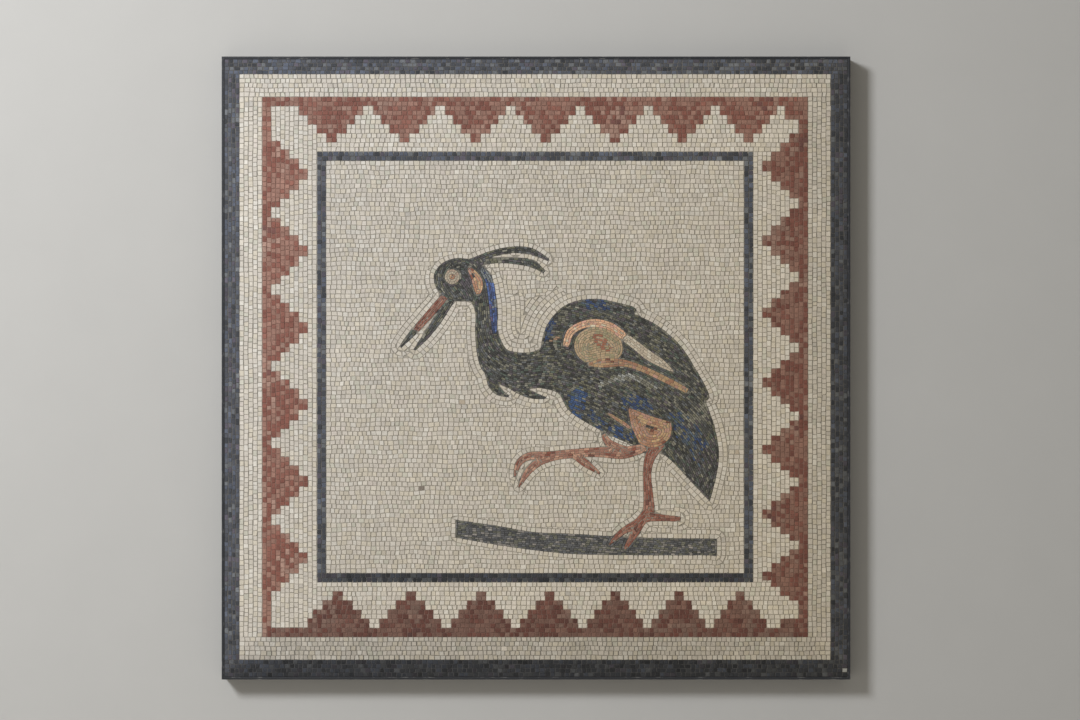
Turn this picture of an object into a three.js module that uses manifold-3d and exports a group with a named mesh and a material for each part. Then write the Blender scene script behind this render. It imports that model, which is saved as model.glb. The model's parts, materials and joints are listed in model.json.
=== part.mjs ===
// A square mosaic wall panel: small stones set in a mortar slab, inside a slim metal edge frame.
// A dark border, a cream band, a row of stepped red triangles and a dark line go round a cream field,
// in which a crested wading bird stands on a bar of ground.
//
// The picture is drawn flat, x to the right and y up from the middle of the panel, with depth z growing
// from the back of the slab to the faces of the stones. At the end the panel is stood upright: it faces
// -Y, its height runs along +Z, and the origin is in the middle of its flat back. Millimetres throughout.
//
// The stones of one colour area lie joint to joint, so each area is one solid. All areas are flush.

import * as THREE from "three";
import { mergeVertices } from "three/addons/utils/BufferGeometryUtils.js";
import Module from "manifold-3d";

const wasm = await Module();
wasm.setup();

// Depths.
const PANEL_DEPTH = 35;
const STONE_DEPTH = 7.7; // what shows of the stones above the slab
const CLEARANCE = 0.3; // between the slab and what touches it

// Widths across the bands, from the edge inwards. A course is one row of stones with its joint.
const COURSE = 7.3;
const EDGE_WALL = 4;
const OUTER_BORDER = 26.3;
const CREAM_COURSES = 5;
const STEPPED_COURSES = 12;
const LINE_COURSES = 2;
const FIELD = { width: 668, height: 659 };
const JOINT = 1; // open joint between two colour areas

// The bands were laid a little off the middle of the slab, to the left and up.
const LAID_OFF = { x: -1.4, y: 1.6 };

// Stepped triangles: a base line two courses deep, then steps of two courses. Each step is a share of the
// triangle's own spacing. Neighbours leave a gap of cream at the base line.
const STEP_COURSES = 2;
const STEP_SHARES = [0.86, 0.64, 0.41, 0.14];
// Along each side, how many triangles stand there, where the first and the last tip are, and the share by
// which the spacing closes up from the first pair to the last.
const TRIANGLES = {
  top: { count: 7, first: -327, last: 340, closing: 0.09 },
  bottom: { count: 7, first: -317, last: 327, closing: 0.16 },
  left: { count: 6, first: 310, last: -304, closing: 0 },
  right: { count: 7, first: 323, last: -333, closing: 0.17 },
};
// The two corners on the right are filled with red where the last triangles run into each other. Courses.
const CORNER_BLOCKS = [
  { side: "top", width: 5, height: 5 },
  { side: "bottom", width: 6, height: 4 },
];

// Points along curves lie about this far apart, and faces this flat are made one.
const CHORD = 9;
const SIMPLE_WITHIN = 0.01;
// A sliver of an area smaller than this, in cubic millimetres, is no stone: it is left to the mortar.
const CHIP = 60;

// ---------------------------------------------------------------------------------------------------
// Outlines: arrays of Vector2, counter-clockwise.

function anticlockwise(points) {
  return THREE.ShapeUtils.isClockWise(points) ? points.slice().reverse() : points;
}

function rectangle(x0, y0, x1, y1) {
  return [
    new THREE.Vector2(x0, y0),
    new THREE.Vector2(x1, y0),
    new THREE.Vector2(x1, y1),
    new THREE.Vector2(x0, y1),
  ];
}

function ellipse(x, y, radiusX, radiusY, tilt = 0) {
  const around = Math.PI * (radiusX + radiusY);
  const curve = new THREE.EllipseCurve(x, y, radiusX, radiusY, 0, 2 * Math.PI, false, tilt);
  return curve.getPoints(Math.max(12, Math.round(around / CHORD))).slice(0, -1);
}

function smoothCurve(marks) {
  const curve = new THREE.CatmullRomCurve3(
    marks.map(([x, y, z = 0]) => new THREE.Vector3(x, y, z)),
    false,
    "centripetal",
  );
  return curve.getSpacedPoints(Math.max(2, Math.round(curve.getLength() / CHORD)));
}

// A closed outline made of smooth stretches. Each stretch ends in a corner, where the next one starts.
function outline(...stretches) {
  const points = stretches.flatMap((marks, i) => {
    const next = stretches[(i + 1) % stretches.length][0];
    return smoothCurve([...marks, next]).slice(0, -1);
  });
  return anticlockwise(points.map((p) => new THREE.Vector2(p.x, p.y)));
}

// A strip along a curve, for a neck, a leg or a feather: each mark is x, y and half the width there.
function ribbon(...marks) {
  const spine = smoothCurve(marks);
  const sides = spine.map((p, i) => {
    const before = spine[Math.max(0, i - 1)];
    const after = spine[Math.min(spine.length - 1, i + 1)];
    const normal = new THREE.Vector2(before.y - after.y, after.x - before.x).normalize();
    const middle = new THREE.Vector2(p.x, p.y);
    return [middle.clone().addScaledVector(normal, p.z), middle.addScaledVector(normal, -p.z)];
  });
  return anticlockwise([...sides.map((s) => s[0]), ...sides.map((s) => s[1]).reverse()]);
}

// The outline moved outwards by a distance, with mitred corners.
function grown(points, distance) {
  const sharpest = 0.35; // limits the mitre at a pointed tip
  return points.map((p, i) => {
    const before = points[(i + points.length - 1) % points.length];
    const after = points[(i + 1) % points.length];
    const a = new THREE.Vector2(p.y - before.y, before.x - p.x).normalize();
    const b = new THREE.Vector2(after.y - p.y, p.x - after.x).normalize();
    const outwards = a.add(b).normalize();
    const halfAngle = Math.max(sharpest, outwards.dot(b));
    return p.clone().addScaledVector(outwards, distance / halfAngle);
  });
}

// ---------------------------------------------------------------------------------------------------
// Solids.

function prism(points, holes, from, to) {
  const shape = new THREE.Shape(points);
  shape.holes = holes.map((hole) => new THREE.Path(hole));
  const geometry = new THREE.ExtrudeGeometry(shape, { depth: to - from, bevelEnabled: false });
  return geometry.translate(0, 0, from);
}

function manifoldOf(geometry) {
  const bare = geometry.clone();
  bare.deleteAttribute("normal");
  bare.deleteAttribute("uv");
  const merged = mergeVertices(bare);
  return new wasm.Manifold(
    new wasm.Mesh({
      numProp: 3,
      vertProperties: new Float32Array(merged.attributes.position.array),
      triVerts: new Uint32Array(merged.index.array),
    }),
  );
}

function geometryOf(manifold) {
  const mesh = manifold.asOriginal().simplify(SIMPLE_WITHIN).getMesh();
  const geometry = new THREE.BufferGeometry();
  geometry.setAttribute("position", new THREE.BufferAttribute(mesh.vertProperties, 3));
  geometry.setIndex(new THREE.BufferAttribute(mesh.triVerts, 1));
  const faceted = geometry.toNonIndexed();
  faceted.computeVertexNormals();
  return faceted;
}

const SLAB_FRONT = PANEL_DEPTH - STONE_DEPTH - CLEARANCE;
const STONE_BACK = PANEL_DEPTH - STONE_DEPTH;

// All the outlines of one area as one solid, as deep as the stones.
function stones(outlines) {
  return outlines
    .map((points) => manifoldOf(prism(points, [], STONE_BACK, PANEL_DEPTH)))
    .reduce((all, next) => all.add(next));
}

// The space that those outlines take from their neighbours, with the joint, cut right through.
function cutter(outlines) {
  return outlines
    .map((points) => manifoldOf(prism(grown(points, JOINT), [], STONE_BACK - 1, PANEL_DEPTH + 1)))
    .reduce((all, next) => all.add(next));
}

// The separate bodies of a solid, largest first, without the chips.
function bodiesOf(solid) {
  const bodies = solid.decompose().filter((body) => body.volume() > CHIP);
  return bodies.sort((a, b) => b.volume() - a.volume());
}

// ---------------------------------------------------------------------------------------------------
// Finishes.

function finish(colour, roughness = 0.75, metalness = 0) {
  return new THREE.MeshStandardMaterial({ color: colour, roughness, metalness });
}

const EDGE_METAL = () => finish(0x33343a, 0.45, 0.8);
const MORTAR = () => finish(0x8a847a, 0.95);
const CHARCOAL = () => finish(0x55565c);
const CREAM = () => finish(0xc6bfb0);
const BRICK_RED = () => finish(0x8b6355);
const BIRD_DARK = () => finish(0x454642);
const BLUE = () => finish(0x3a4678);
const OCHRE = () => finish(0xa07b52);
const PEACH = () => finish(0xb08a6c);
const TAN = () => finish(0x8c7a60);
const TERRACOTTA = () => finish(0x8a5f4e);
const GROUND_GREY = () => finish(0x55564f);

const panel = new THREE.Group();

function addPiece(name, geometry, material) {
  const mesh = new THREE.Mesh(geometry, material);
  mesh.name = name;
  panel.add(mesh);
}

// ---------------------------------------------------------------------------------------------------
// Bands. Each is bounded by two rectangles round the middle of the laid work.

const CREAM_BAND = CREAM_COURSES * COURSE;
const STEPPED_BAND = STEPPED_COURSES * COURSE;
const LINE_BAND = LINE_COURSES * COURSE;
const BANDS = EDGE_WALL + OUTER_BORDER + CREAM_BAND + STEPPED_BAND + LINE_BAND;
const PANEL = { width: FIELD.width + 2 * BANDS, height: FIELD.height + 2 * BANDS };

// The rectangle that lies this far outside the field, in the laid work.
function laidRectangle(outside) {
  const halfWidth = FIELD.width / 2 + outside;
  const halfHeight = FIELD.height / 2 + outside;
  return rectangle(
    LAID_OFF.x - halfWidth,
    LAID_OFF.y - halfHeight,
    LAID_OFF.x + halfWidth,
    LAID_OFF.y + halfHeight,
  );
}

// The rectangle that lies this far inside the panel's outer edge.
function panelRectangle(inside) {
  const halfWidth = PANEL.width / 2 - inside;
  const halfHeight = PANEL.height / 2 - inside;
  return rectangle(-halfWidth, -halfHeight, halfWidth, halfHeight);
}

const LINE_OUTSIDE = LINE_BAND;
const STEPPED_OUTSIDE = LINE_OUTSIDE + STEPPED_BAND;
const CREAM_OUTSIDE = STEPPED_OUTSIDE + CREAM_BAND;

function buildFrameAndSlab() {
  const inner = panelRectangle(EDGE_WALL);
  addPiece("edge_frame", prism(panelRectangle(0), [inner], 0, PANEL_DEPTH), EDGE_METAL());
  const slab = panelRectangle(EDGE_WALL + CLEARANCE);
  addPiece("mortar_slab", prism(slab, [], 0, SLAB_FRONT), MORTAR());
}

function buildPlainBands() {
  const borderOuter = panelRectangle(EDGE_WALL + JOINT);
  const borderInner = laidRectangle(CREAM_OUTSIDE + JOINT);
  addPiece("outer_border", prism(borderOuter, [borderInner], STONE_BACK, PANEL_DEPTH), CHARCOAL());

  const creamInner = laidRectangle(STEPPED_OUTSIDE + JOINT);
  const cream = prism(laidRectangle(CREAM_OUTSIDE), [creamInner], STONE_BACK, PANEL_DEPTH);
  addPiece("outer_cream_band", cream, CREAM());

  const lineInner = laidRectangle(JOINT);
  const line = prism(laidRectangle(LINE_OUTSIDE), [lineInner], STONE_BACK, PANEL_DEPTH);
  addPiece("border_line", line, CHARCOAL());
}

// ---------------------------------------------------------------------------------------------------
// The stepped border. A side is described by how far along it something stands and how deep it reaches
// in from the outer edge of the band; place() turns that into a rectangle on that side.

const [BAND_MIN, , BAND_MAX] = laidRectangle(STEPPED_OUTSIDE);

function place(side, along0, along1, depth0, depth1) {
  const [low, high] = [Math.min(along0, along1), Math.max(along0, along1)];
  if (side === "top") return rectangle(low, BAND_MAX.y - depth1, high, BAND_MAX.y - depth0);
  if (side === "bottom") return rectangle(low, BAND_MIN.y + depth0, high, BAND_MIN.y + depth1);
  if (side === "left") return rectangle(BAND_MIN.x + depth0, low, BAND_MIN.x + depth1, high);
  return rectangle(BAND_MAX.x - depth1, low, BAND_MAX.x - depth0, high);
}

// Where the tips of one side stand: the spacing closes up evenly along the row.
function tipsOf({ count, first, last, closing }) {
  const weights = Array.from({ length: count - 1 }, (_, i) => 1 - (closing * i) / (count - 2));
  const total = weights.reduce((sum, w) => sum + w, 0);
  const tips = [first];
  weights.forEach((w) => tips.push(tips.at(-1) + ((last - first) * w) / total));
  return tips;
}

function stepsOf(side) {
  const tips = tipsOf(TRIANGLES[side]);
  return tips.flatMap((tip, i) => {
    const before = tip - (tips[i - 1] ?? 2 * tip - tips[i + 1]);
    const after = (tips[i + 1] ?? 2 * tip - tips[i - 1]) - tip;
    return STEP_SHARES.map((share, step) => {
      const depth = STEP_COURSES * COURSE * (step + 2);
      return place(side, tip - (before * share) / 2, tip + (after * share) / 2, 0, depth);
    });
  });
}

function cornerBlock({ side, width, height }) {
  return place(side, BAND_MAX.x - width * COURSE, BAND_MAX.x, 0, height * COURSE);
}

function baseLines() {
  const depth = STEP_COURSES * COURSE;
  return [
    place("top", BAND_MIN.x, BAND_MAX.x, 0, depth),
    place("bottom", BAND_MIN.x, BAND_MAX.x, 0, depth),
    place("left", BAND_MIN.y, BAND_MAX.y, 0, depth),
    place("right", BAND_MIN.y, BAND_MAX.y, 0, depth),
  ];
}

function buildSteppedBorder() {
  const red = [
    ...baseLines(),
    ...Object.keys(TRIANGLES).flatMap(stepsOf),
    ...CORNER_BLOCKS.map(cornerBlock),
  ];
  addPiece("stepped_border", geometryOf(stones(red)), BRICK_RED());

  const inner = laidRectangle(LINE_OUTSIDE + JOINT);
  const band = prism(laidRectangle(STEPPED_OUTSIDE), [inner], STONE_BACK, PANEL_DEPTH);
  const cream = manifoldOf(band).subtract(cutter(red));
  addPiece("inner_cream_band", geometryOf(cream), CREAM());
}

// ---------------------------------------------------------------------------------------------------
// The picture. Earlier areas lie over later ones: each is cut to leave a joint round those before it.

const EYE = { x: -134, y: 146, ring: 12, pupil: 4.5 };

const PICTURE = [
  ["bird_eye_pupil", OCHRE, [ellipse(EYE.x, EYE.y, EYE.pupil, EYE.pupil)]],
  ["bird_eye_ring", CREAM, [ellipse(EYE.x, EYE.y, EYE.ring, EYE.ring)]],
  ["bird_cheek", OCHRE, [ribbon([-108, 160, 2.5], [-98, 148, 6.5], [-92, 132, 8], [-93, 118, 3])]],
  [
    "bird_nape_stripe",
    BLUE,
    [ribbon([-87, 160, 4], [-75, 140, 5.5], [-70, 110, 5.5], [-67.5, 80, 5], [-66, 55, 3])],
  ],
  [
    "bird_shoulder_band",
    PEACH,
    [ribbon([48, 34, 5], [54, 56, 5.5], [74, 69, 5.5], [96, 72, 6], [120, 66, 6], [142, 50, 6])],
  ],
  [
    "bird_wing_stripe_cream",
    CREAM,
    [ribbon([132, 57, 6], [160, 36, 6.5], [180, 20, 7], [200, 8, 6], [220, -6, 1])],
  ],
  [
    "bird_wing_stripe_ochre",
    OCHRE,
    [ribbon([84, 6, 3], [110, 8, 7], [140, 8, 5], [172, -2, 4.5], [208, -19, 4.5], [243, -37, 4])],
  ],
  ["bird_shoulder_patch", TAN, [ellipse(100, 34, 39, 31, -0.15)]],
  ["bird_flank_stripe", OCHRE, [ribbon([114, -72, 1.5], [135, -85, 2.2], [152, -97, 2])]],
  [
    "bird_thigh",
    OCHRE,
    [
      outline(
        [[148, -63], [180, -76]],
        [[216, -87], [217, -102], [210, -117], [188, -127]],
        [[166, -121], [153, -92]],
      ),
    ],
  ],
  [
    "bird_leg_raised",
    TERRACOTTA,
    [
      // thigh, shank and the longest toe
      ribbon(
        [176, -127, 6], [140, -136, 9], [112, -135, 8], [83, -135, 6.5], [48, -138, 6.5],
        [19, -141, 6.5], [-12, -141, 5.5], [-28, -153, 4.5], [-34, -174, 1.2],
      ),
      // the other toes
      ribbon([38, -140, 5], [6, -150, 5.5], [-12, -165, 5], [-28, -191, 1.2]),
      ribbon([60, -138, 5], [80, -153, 5.5], [102, -169, 1.5]),
      // tuft above the knee
      ribbon([108, -106, 3], [116, -120, 5.5], [140, -130, 5]),
    ],
  ],
  [
    "bird_leg_standing",
    TERRACOTTA,
    [
      ribbon([196, -118, 12], [183, -141, 8], [178, -168, 6], [180, -203, 7], [181, -232, 9]),
      ribbon([176, -238, 7], [205, -240, 4.5], [231, -242, 3.5]),
      ribbon([180, -232, 8], [163, -249, 7], [138, -262, 4.5], [117, -283, 1.5]),
      ribbon([170, -244, 6], [156, -268, 5.5], [142, -290, 2]),
    ],
  ],
  [
    "bird_body",
    BIRD_DARK,
    [
      // head
      ellipse(-120, 141, 43, 34, -0.12),
      // neck
      ribbon(
        [-96, 140, 26], [-80, 100, 18], [-78, 50, 18], [-62, 8, 26], [-30, -4, 28], [8, -2, 30], [50, 4, 52],
      ),
      // back, wing and belly
      outline(
        [[8, 30], [18, 68], [46, 99], [90, 110], [130, 104], [163, 93]],
        [[153, 87], [190, 70], [228, 38], [256, -4], [277, -48]],
        [[270, -52], [285, -95], [292, -145], [278, -212]],
        [
          [278, -212], [245, -177], [215, -146], [190, -128], [150, -120],
          [96, -95], [52, -66], [34, -34], [8, -30],
        ],
      ),
      // crest
      ribbon([-108, 168, 4], [-70, 183, 4], [-38, 189, 4.5], [-8, 187, 4.5], [20, 173, 1.5]),
      ribbon([-98, 168, 4], [-62, 172, 3.5], [-31, 171, 4.5], [-4, 166, 5], [13, 154, 2]),
      // throat plumes
      ribbon([-72, 0, 7], [-70, -24, 7], [-60, -38, 5.5], [-44, -45, 1]),
      ribbon([-50, -18, 8], [-28, -34, 6], [-8, -43, 5], [15, -48, 1.2]),
    ],
  ],
  ["bird_beak_tip", BIRD_DARK, [ribbon([-194, 60, 4.5], [-205, 47, 3.5], [-216, 34, 1])]],
  [
    "bird_beak_upper",
    TERRACOTTA,
    [ribbon([-140, 120, 6], [-152, 107, 5.5], [-172, 84, 5.5], [-196, 57, 4.5])],
  ],
  [
    "bird_beak_lower",
    BIRD_DARK,
    [ribbon([-134, 114, 5.5], [-142, 100, 5.5], [-156, 78, 5.5], [-175, 52, 4.5], [-194, 29, 1])],
  ],
  [
    "ground_bar",
    GROUND_GREY,
    [
      outline(
        [[-128, -244], [-58, -254], [-8, -263], [55, -266], [165, -272]],
        [[289, -274]],
        [[289, -299]],
        [[289, -299], [177, -299], [60, -297], [-2, -291], [-58, -283]],
        [[-128, -271]],
      ),
    ],
  ],
];

// The figure closes off two small patches of the field, which are pieces of their own.
const FIELD_PIECES = ["field", "field_under_belly", "field_between_toes"];

function buildPicture() {
  let taken = null;
  const whatIsLeft = (outlines) => bodiesOf(taken ? stones(outlines).subtract(taken) : stones(outlines));
  for (const [name, material, outlines] of PICTURE) {
    const [area] = whatIsLeft(outlines);
    addPiece(name, geometryOf(area), material());
    const space = cutter(outlines);
    taken = taken ? taken.add(space) : space;
  }
  whatIsLeft([laidRectangle(0)]).forEach((area, i) => addPiece(FIELD_PIECES[i], geometryOf(area), CREAM()));
}

buildFrameAndSlab();
buildPlainBands();
buildSteppedBorder();
buildPicture();

panel.rotation.x = Math.PI / 2; // stand the drawing upright, facing -Y

export default panel;
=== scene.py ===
# %% [markdown]
# # A mosaic panel, laid stone by stone
# The panel is a square wall piece of about a metre: hand-cut stones bedded in mortar, held in a slim
# dark metal edge. A picture of it could be painted on one flat face, but the light would then slide
# over it as over a print. Here every stone is a small solid block with its own size, tilt and colour,
# and the mortar is a surface of its own between them, so that the joints, the chipped corners and the
# uneven faces are real shape.
#
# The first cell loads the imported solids. They give every outline and size, and nothing is measured twice.

# %% Load the solids
import json
import math

import bpy
import numpy as np
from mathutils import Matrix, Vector

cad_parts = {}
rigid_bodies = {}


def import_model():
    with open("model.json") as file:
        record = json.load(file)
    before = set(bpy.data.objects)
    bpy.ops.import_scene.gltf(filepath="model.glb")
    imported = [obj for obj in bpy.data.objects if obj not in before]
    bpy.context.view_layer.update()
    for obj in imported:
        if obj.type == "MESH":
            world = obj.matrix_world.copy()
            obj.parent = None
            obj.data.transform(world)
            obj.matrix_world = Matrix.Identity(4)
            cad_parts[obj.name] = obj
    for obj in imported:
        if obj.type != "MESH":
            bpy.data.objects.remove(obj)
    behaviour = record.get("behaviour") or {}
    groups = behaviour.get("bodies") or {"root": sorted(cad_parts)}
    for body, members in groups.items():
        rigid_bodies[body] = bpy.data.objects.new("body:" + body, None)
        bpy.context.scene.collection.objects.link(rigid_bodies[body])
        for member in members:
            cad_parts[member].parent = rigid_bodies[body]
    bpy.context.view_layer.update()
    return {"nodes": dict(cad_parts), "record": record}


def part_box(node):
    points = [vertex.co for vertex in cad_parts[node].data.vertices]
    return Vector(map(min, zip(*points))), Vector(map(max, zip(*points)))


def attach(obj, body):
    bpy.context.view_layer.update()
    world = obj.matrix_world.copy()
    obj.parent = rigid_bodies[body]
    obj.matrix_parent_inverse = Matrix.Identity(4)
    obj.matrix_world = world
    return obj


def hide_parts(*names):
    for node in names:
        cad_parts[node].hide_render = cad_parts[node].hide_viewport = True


for start_object in list(bpy.data.objects):
    bpy.data.objects.remove(start_object)
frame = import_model()
SEED = 20


def seeded(*numbers):
    """A source of chance that gives the same draws each time."""
    return np.random.default_rng([SEED, *numbers])


# %% [markdown]
# ## Outlines
# A mosaic maker works from a full-size drawing: the outline of each colour area. The flat fronts of the
# solids are that drawing. An edge that belongs to only one front face lies on the outline, and joining
# such edges end to end gives closed loops. All laying out is done in millimetres, x to the right and
# z up, as it would be on the bench.

# %% Read the outlines from the solids
FLAT = 0.05


def front_outlines(node):
    """The closed outlines, in mm, of the flat front of one solid."""
    mesh = frame["nodes"][node].data
    corners = np.array([vertex.co for vertex in mesh.vertices]) * 1000
    places, index = np.unique(corners.round(2), axis=0, return_inverse=True)
    index = index.ravel()
    front = places[:, 1].min()
    edges = set()
    for face in mesh.polygons:
        ring = [int(index[i]) for i in face.vertices]
        if max(places[ring, 1]) < front + FLAT:
            edges.update(zip(ring, ring[1:] + ring[:1]))
    following = {}
    for start, end in sorted(edges):
        if (end, start) not in edges:
            following.setdefault(start, []).append(end)
    outlines = []
    while following:
        corner = next(iter(following))
        outline = []
        while corner in following:
            outline.append(corner)
            ends = following[corner]
            end = ends.pop()
            if not ends:
                del following[corner]
            corner = end
        outlines.append(places[outline][:, [0, 2]])
    return sorted(outlines, key=lambda points: -np.ptp(points, axis=0).max())


print("outlines of the cream field:", len(front_outlines("field")))

# %% [markdown]
# ## Distance to an outline
# Stones that follow a shape, as they do round a bird's neck, lie in rows at equal distances from its
# outline. So the one measurement that laying needs is how deep a spot lies inside an area. `Area` works
# it out for many spots at once, in chunks so that memory holds them. A spot's side is found by counting
# how many edges lie to its right: an odd count means inside.

# %% Measure how deep a spot lies in an area
CHUNK = 1500


def nearest_edges(start, edge, spots):
    """The way to each spot from the nearest point of a chain of edges, and that edge's number."""
    ways, numbers = np.empty((len(spots), 2)), np.empty(len(spots), int)
    length2 = np.maximum((edge**2).sum(1), 1e-9)
    for i in range(0, len(spots), CHUNK):
        away = spots[i : i + CHUNK, None] - start
        along = np.clip((away * edge).sum(2) / length2, 0, 1)
        gap = away - along[:, :, None] * edge
        best = (gap**2).sum(2).argmin(1)
        numbers[i : i + CHUNK] = best
        ways[i : i + CHUNK] = gap[np.arange(len(best)), best]
    return ways, numbers


class Area:
    """The part of the face plane inside a set of closed outlines, in mm, or outside them."""

    def __init__(self, outlines, outside=False):
        self.outside = outside
        self.start = np.concatenate(outlines)
        self.edge = np.concatenate([np.roll(points, -1, 0) - points for points in outlines])
        self.low, self.high = self.start.min(0), self.start.max(0)

    def nearest(self, spots):
        """The nearest point of the outline to each spot."""
        return spots - nearest_edges(self.start, self.edge, spots)[0]

    def holds(self, spots):
        """Whether each spot lies inside."""
        start, end = self.start, self.start + self.edge
        rise = np.where(self.edge[:, 1] == 0, 1, self.edge[:, 1])
        inside = np.empty(len(spots), bool)
        for i in range(0, len(spots), CHUNK):
            x, z = spots[i : i + CHUNK, :1], spots[i : i + CHUNK, 1:]
            crosses = (start[:, 1] > z) != (end[:, 1] > z)
            at = start[:, 0] + (z - start[:, 1]) * self.edge[:, 0] / rise
            inside[i : i + CHUNK] = (crosses & (x < at)).sum(1) % 2 == 1
        return inside ^ self.outside

    def depth(self, spots):
        """How far each spot lies inside the outline, below zero outside."""
        gap = np.hypot(*(spots - self.nearest(spots)).T)
        return np.where(self.holds(spots), gap, -gap)


def grid_over(low, high, step):
    """Evenly spaced spots over a rectangle, as rows of columns."""
    count = np.ceil((high - low) / step).astype(int) + 1
    xs, zs = (low[k] + step * np.arange(count[k]) for k in (0, 1))
    return np.stack(np.meshgrid(xs, zs, indexing="ij"), -1)


def box_round(points, wider):
    """The lowest and the highest corner of a box round points, made wider all round."""
    return points.min(0) - wider, points.max(0) + wider


def over(spots, measure):
    """A measure taken at every spot of a grid."""
    return measure(spots.reshape(-1, 2)).reshape(spots.shape[:2])


body_area = Area(front_outlines("bird_body"))
print("the bird's dark plumage spans", (body_area.high - body_area.low).round(0), "mm")

# %% [markdown]
# ## Lines of equal value
# A row of stones runs along a line on which some value stays the same: the distance to an outline, or
# the distance to a guide line through the body. Marching squares finds such lines on a grid. Each grid
# cell whose corners disagree holds a short piece of the line, and the pieces are then linked.

# %% Find the lines on which a value stays the same
def level_lines(spots, values, level):
    """Lines, each with whether it is closed, along which the values cross a level."""
    high = values > level
    crossed = (high[:-1, :-1] != high[1:, :-1]) | (high[:-1, :-1] != high[:-1, 1:])
    crossed |= high[:-1, :-1] != high[1:, 1:]
    joined, place = {}, {}
    for i, j in np.argwhere(crossed):
        here, right, above, across = (i, j), (i + 1, j), (i, j + 1), (i + 1, j + 1)
        cuts = []
        for a, b in ((here, right), (here, above), (above, across), (right, across)):
            if high[a] != high[b]:
                share = (level - values[a]) / (values[b] - values[a])
                place[a, b] = spots[a] + share * (spots[b] - spots[a])
                cuts.append((a, b))
        for one, other in zip(cuts[::2], cuts[1::2]):
            joined.setdefault(one, []).append(other)
            joined.setdefault(other, []).append(one)
    lines, seen = [], set()
    for first in sorted(joined, key=lambda cut: len(joined[cut])):
        if first in seen:
            continue
        line, at = [], first
        while at is not None:
            seen.add(at)
            line.append(place[at])
            at = next((cut for cut in joined[at] if cut not in seen), None)
        lines.append((np.array(line), len(joined[first]) == 2))
    return [(line, closed) for line, closed in lines if len(line) > 2]


trial = grid_over(np.array([-2.0, -2.0]), np.array([2.0, 2.0]), 0.3)
circle, closed = level_lines(trial, np.hypot(trial[..., 0], trial[..., 1]), 1.2)[0]
print("a circle on a trial grid:", len(circle), "points, closed:", closed)

# %% [markdown]
# ## From a row to stones
# A row is cut into stones as a mosaic maker nips them from a strip: about equal, never quite. Each
# stone starts as a flat polygon, its share of the row from joint to joint. Where a polygon reaches into
# another area it is clipped, as a stone is nipped to fit.

# %% Cut rows into uneven stones and nip them to fit
JOINT = 1.0
UNEVEN_LENGTH = 0.2


def uneven_marks(total, length, chance):
    """Places along a row where one stone ends and the next begins."""
    sizes = 1 + UNEVEN_LENGTH * chance.uniform(-1, 1, max(1, round(total / length)))
    return np.concatenate([[0], np.cumsum(sizes)]) * total / sizes.sum()


def surface(polygon):
    """The signed area of a polygon, above zero where it runs anticlockwise."""
    x, z = polygon.T
    return (x * np.roll(z, -1) - z * np.roll(x, -1)).sum() / 2


def nipped(polygon, values):
    """The part of a polygon where the values at its corners are above zero."""
    kept = []
    for k in range(len(polygon)):
        here, there = polygon[k], polygon[(k + 1) % len(polygon)]
        value, other = values[k], values[(k + 1) % len(polygon)]
        if value > 0:
            kept.append(here)
        if (value > 0) != (other > 0):
            kept.append(here + (there - here) * value / (value - other))
    return np.array(kept)


def between(near, far):
    """The polygons between two lines with as many points, from point to point."""
    return list(np.stack([near[:-1], near[1:], far[1:], far[:-1]], 1))


def stones_along(line, closed, width, length, chance, outward, reach):
    """Polygons of a row of stones along a line. outward(points) gives the way to the row's far side,
    reach(points, directions) how far each point's stones may go that way."""
    path = np.concatenate([line, line[:1]]) if closed else line
    run = np.concatenate([[0], np.cumsum(np.hypot(*np.diff(path, axis=0).T))])
    marks = uneven_marks(run[-1], length, chance)
    points = np.stack([np.interp(marks, run, path[:, k]) for k in (0, 1)], 1)
    away = outward(points)
    return between(points - away * width / 2, points + away * reach(points, away)[:, None])


print("a strip of 60 mm is nipped at", uneven_marks(60, 7.5, seeded()).round(1), "mm")

# %% [markdown]
# ## Keeping stones off each other
# Rows that meet, as between the neck and the back, would run into one another. A fine grid remembers
# which spots are already covered, and a stone that would lie too far over others is left out, as the
# maker has no room for it either. Where rows part instead, holes stay open.

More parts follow.
